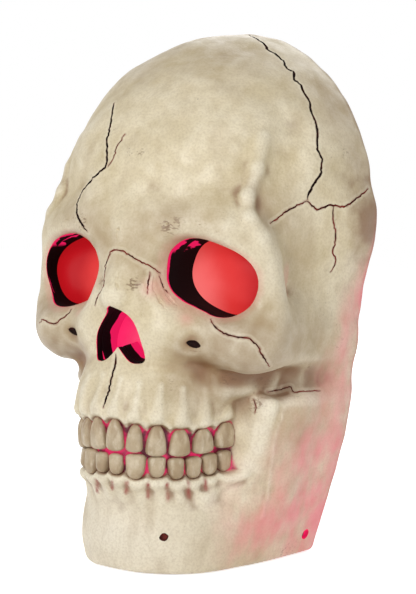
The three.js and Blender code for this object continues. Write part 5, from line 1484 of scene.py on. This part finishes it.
panel_cuts += [sunk_in(centre, ejector, EJECTOR_DEPTH, EJECTOR_TAPER) for centre in EJECTORS]
door_cuts = [sunk_in((0, z), grip, GRIP_DEPTH, GRIP_TAPER) for z in GRIP_HEIGHTS]
dressed("back_panel", "skull", "panel_grey", grey, cuts=panel_cuts)
dressed("battery_door", "door", "panel_grey", grey, cuts=door_cuts)
dressed("switch_slider", "slider", "black_plastic", black, 0.3)
dressed("battery_tray", "skull", "black_plastic", black)
dressed("lamp_base", "skull", "black_plastic", black)

# Screws: zinc-plated pan heads with a cross recess and a coarse thread for plastic. Six hold the back panel
# to the skull's bosses, four the battery tray to the panel's posts and two the lamp to the tray.
HEAD_RADIUS = 2.9
HEAD_HEIGHT = 2
SHANK_RADIUS = 1.3
THREAD_RADIUS = 1.6
THREAD_PITCH = 1.2
RECESS_LENGTH = 3.2
RECESS_WIDTH = 0.7
RECESS_DEPTH = 1.1
RECESS_TAPER = 0.7
SCREW_SEGMENTS = 20
steel = Paint("steel", {"Metallic": 1.0})
steel.feed("Base Color", steel.clouds(6, 3, 0.4, 0.7, tint(196, 196, 198), tint(170, 168, 164)))
steel.feed("Roughness", 0.3 + steel.noise(3, 3) * 0.2)


def screw_shape(length):
    """A screw along y with the top of its head at 0, in millimetres."""
    profile = [(0.0, 0.05), (0.0, HEAD_RADIUS * 0.55), (0.5, HEAD_RADIUS * 0.9), (1.1, HEAD_RADIUS)]
    profile += [(HEAD_HEIGHT, HEAD_RADIUS), (HEAD_HEIGHT, SHANK_RADIUS)]
    for depth in np.arange(HEAD_HEIGHT + 0.8, length - 2, THREAD_PITCH):
        profile += [(depth, SHANK_RADIUS), (depth + THREAD_PITCH / 2, THREAD_RADIUS)]
    profile += [(length - 1.5, SHANK_RADIUS), (length, 0.1)]
    turn = all_round(SCREW_SEGMENTS)
    rings = [np.column_stack((radius * np.cos(turn), np.full(SCREW_SEGMENTS, -depth), radius * np.sin(turn)))
             for depth, radius in profile]
    shape = loft("screw_shape", rings, steel.material)
    for long, wide in ((RECESS_LENGTH, RECESS_WIDTH), (RECESS_WIDTH, RECESS_LENGTH)):
        slot_ring = np.array(((-long, 0, -wide), (long, 0, -wide), (long, 0, wide), (-long, 0, wide))) / 2
        recess = [slot_ring + (0, 1, 0), slot_ring * RECESS_TAPER - (0, RECESS_DEPTH, 0)]
        carve(shape, "DIFFERENCE", loft("recess", recess, steel.material))
    shape.data.transform(Matrix.Translation((0, -RIM_Y / 1000, 0)))
    shape.data.transform(Matrix.Scale(1000, 4))
    return shape


for group, number, turned_in in (("panel_screw", 6, False), ("tray_screw", 4, True), ("lamp_screw", 2, True)):
    names = [f"{group}_{i}" for i in range(1, number + 1)]
    boxes = [[np.array(corner) * 1000 - (0, RIM_Y, 0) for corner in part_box(name)] for name in names]
    places = [
        (low + high) / 2 * (1, 0, 1) + (low if turned_in else high) * (0, 1, 0) for low, high in boxes]
    angles = np.random.default_rng(3).uniform(0, math.pi, number)
    turns = [(0, angle, math.pi * turned_in) for angle in angles]
    length = boxes[0][1][1] - boxes[0][0][1]
    screws = copies(f"{group}s", screw_shape(length), places, turns, np.ones((number, 3)), steel.material)
    smoothed(screws, 40)
    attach(screws, "skull")
    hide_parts(*names)


# Contact springs: a conical coil of steel wire in the tray below each cell.
COIL_TURNS = 3.5
COIL_WIRE = 0.35
COIL_STEPS = 90
COIL_TAPER = 0.35
COIL_SIDES = 8
wire = COIL_WIRE / 1000
share = np.linspace(0, 1, COIL_STEPS)
coil_turn = share * COIL_TURNS * 2 * math.pi
for spring in ("contact_spring_1", "contact_spring_2", "contact_spring_3"):
    low, high = (np.array(corner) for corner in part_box(spring))
    middle = (low + high) / 2
    coil_radius = ((high[1] - low[1]) / 2 - wire) * (1 - COIL_TAPER * share)
    path = np.column_stack((
        middle[0] + coil_radius * np.cos(coil_turn), middle[1] + coil_radius * np.sin(coil_turn),
        low[2] + wire + share * (high[2] - low[2] - 2 * wire)))
    coil = tube(f"{spring}_piece", path, np.full(COIL_STEPS, COIL_WIRE), COIL_SIDES, steel.material)
    smoothed(coil, 60)
    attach(coil, "skull")
    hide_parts(spring)


# What else is inside: the pin of the door, plates and switch of steel, cells in printed sleeves, and the
# lamp's board with its diodes, dome and soldered leads. A sleeve's heights are in the frame, in metres.
CELL_LOW = (0.1179, 0.1181)
CELL_HIGH = (0.1655, 0.1657)
CELL_BAND = (0.1519, 0.1521)
cell_skin = Paint("cell_skin", {"IOR": 1.5})
cell_height = cell_skin.axis("Z")
cell_end = cell_skin.ramp(cell_height, *CELL_HIGH) + 1 - cell_skin.ramp(cell_height, *CELL_LOW)
cell_band = cell_skin.ramp(cell_height, *CELL_BAND)
cell_colour = cell_skin.over(cell_skin.noise(9, 3) * 0.3, tint(96, 142, 172), tint(70, 112, 142))
cell_colour = cell_skin.over(cell_band, cell_colour, tint(196, 150, 92))
cell_skin.feed("Base Color", cell_skin.over(cell_end, cell_colour, tint(200, 200, 200)))
cell_skin.feed("Metallic", cell_skin.ramp(cell_end + cell_band * 0.5, 0.2, 1))
cell_skin.feed("Roughness", 0.28 + cell_skin.noise(2, 3) * 0.12)
board_green = Paint("board_green", {"IOR": 1.5})
board_green.feed("Base Color", board_green.clouds(2.5, 2, 0.5, 0.56, tint(88, 150, 116), tint(112, 172, 134)))
board_green.feed("Roughness", 0.35 + board_green.noise(1, 2) * 0.15)
diode = Paint("diode", {"Roughness": 0.25, "IOR": 1.5, "Emission Strength": 1.0})
diode.feed("Base Color", diode.over(diode.noise(2, 2), tint(210, 46, 58), tint(180, 30, 40)))
diode.feed("Emission Color", diode.over(diode.noise(6, 2), tint(255, 84, 120), tint(232, 50, 90)))


def insulation(name, first, second):
    """The soft plastic round a lead."""
    paint = Paint(name, {"IOR": 1.46})
    paint.feed("Base Color", paint.over(paint.noise(3, 3), first, second))
    paint.feed("Roughness", 0.4 + paint.noise(2, 3) * 0.15)
    return paint


lead_red = insulation("lead_red", tint(212, 97, 97), tint(190, 76, 76))
lead_black = insulation("lead_black", tint(84, 84, 84), tint(60, 60, 60))
slot_paints = {
    "steel": (steel, 0.12), "cell_skin": (cell_skin, 0.4), "board_green": (board_green, 0.15),
    "lead_red": (lead_red, 0.1), "lead_black": (lead_black, 0.1), "red_lens": (diode, 0.1)}
for subpart in frame["record"]["subparts"]:
    node, slot = subpart["node"], subpart["material_slot"]
    if slot in slot_paints and not any(word in node for word in ("screw", "spring", "eye_lens")):
        dressed(node, "skull", slot, *slot_paints[slot])


# Light: a soft key near the camera, a wide soft fill on each side and behind, and a white floor and
# surround. Each lamp has an azimuth, an elevation, a size and an energy.
LIGHT_AIM = Vector((0, 0, 0.15))
LIGHT_DISTANCE = 1.6
LIGHTS = (
    ("key", 6, 24, 0.4, 11.5), ("right_fill", 72, 6, 1.2, 7.2), ("left_fill", -60, 5, 1.2, 3),
    ("back_fill", 195, 30, 1.2, 9))
SURROUND_LIGHT = 0.34
FLOOR_HALF = 3.0
FLOOR_DROP = 0.0005
for name, azimuth, elevation, size, energy in LIGHTS:
    away = direction(math.radians(azimuth), math.radians(elevation))
    lamp_data = bpy.data.lights.new(name, "AREA")
    lamp_data.size = size
    lamp_data.energy = energy
    lamp = bpy.data.objects.new(name, lamp_data)
    lamp.location = LIGHT_AIM + away * LIGHT_DISTANCE
    lamp.rotation_euler = away.to_track_quat("Z", "Y").to_euler()
    scene.collection.objects.link(lamp)


def shown_in(tree):
    """1 for what the camera sees, straight, mirrored or through glass, and 0 for light on the object."""
    straight, mirrored, through = (
        tree.node("ShaderNodeLightPath", output=f"Is {kind} Ray")
        for kind in ("Camera", "Glossy", "Transmission"))
    return straight + mirrored + through


def white(strength):
    return (strength, strength, strength, 1)


world = bpy.data.worlds.new("surround")
scene.world = world
world.use_nodes = True
world_tree = Tree(world.node_tree)
shade = world_tree.over(shown_in(world_tree), white(SURROUND_LIGHT), white(1))
world.node_tree.links.new(shade.socket, world.node_tree.nodes["Background"].inputs["Color"])
floor_paint = Paint("floor", {
    "Base Color": white(0.9), "Roughness": 1.0, "Specular IOR Level": 0.0, "Emission Strength": 1.0})
floor_paint.feed("Emission Color", floor_paint.over(shown_in(floor_paint), white(0.1), white(0.72)))
floor_corners = [
    (x * FLOOR_HALF, y * FLOOR_HALF, -FLOOR_DROP) for x, y in ((-1, -1), (1, -1), (1, 1), (-1, 1))]
floor = made("floor", floor_corners, [(0, 1, 2, 3)], floor_paint.material)
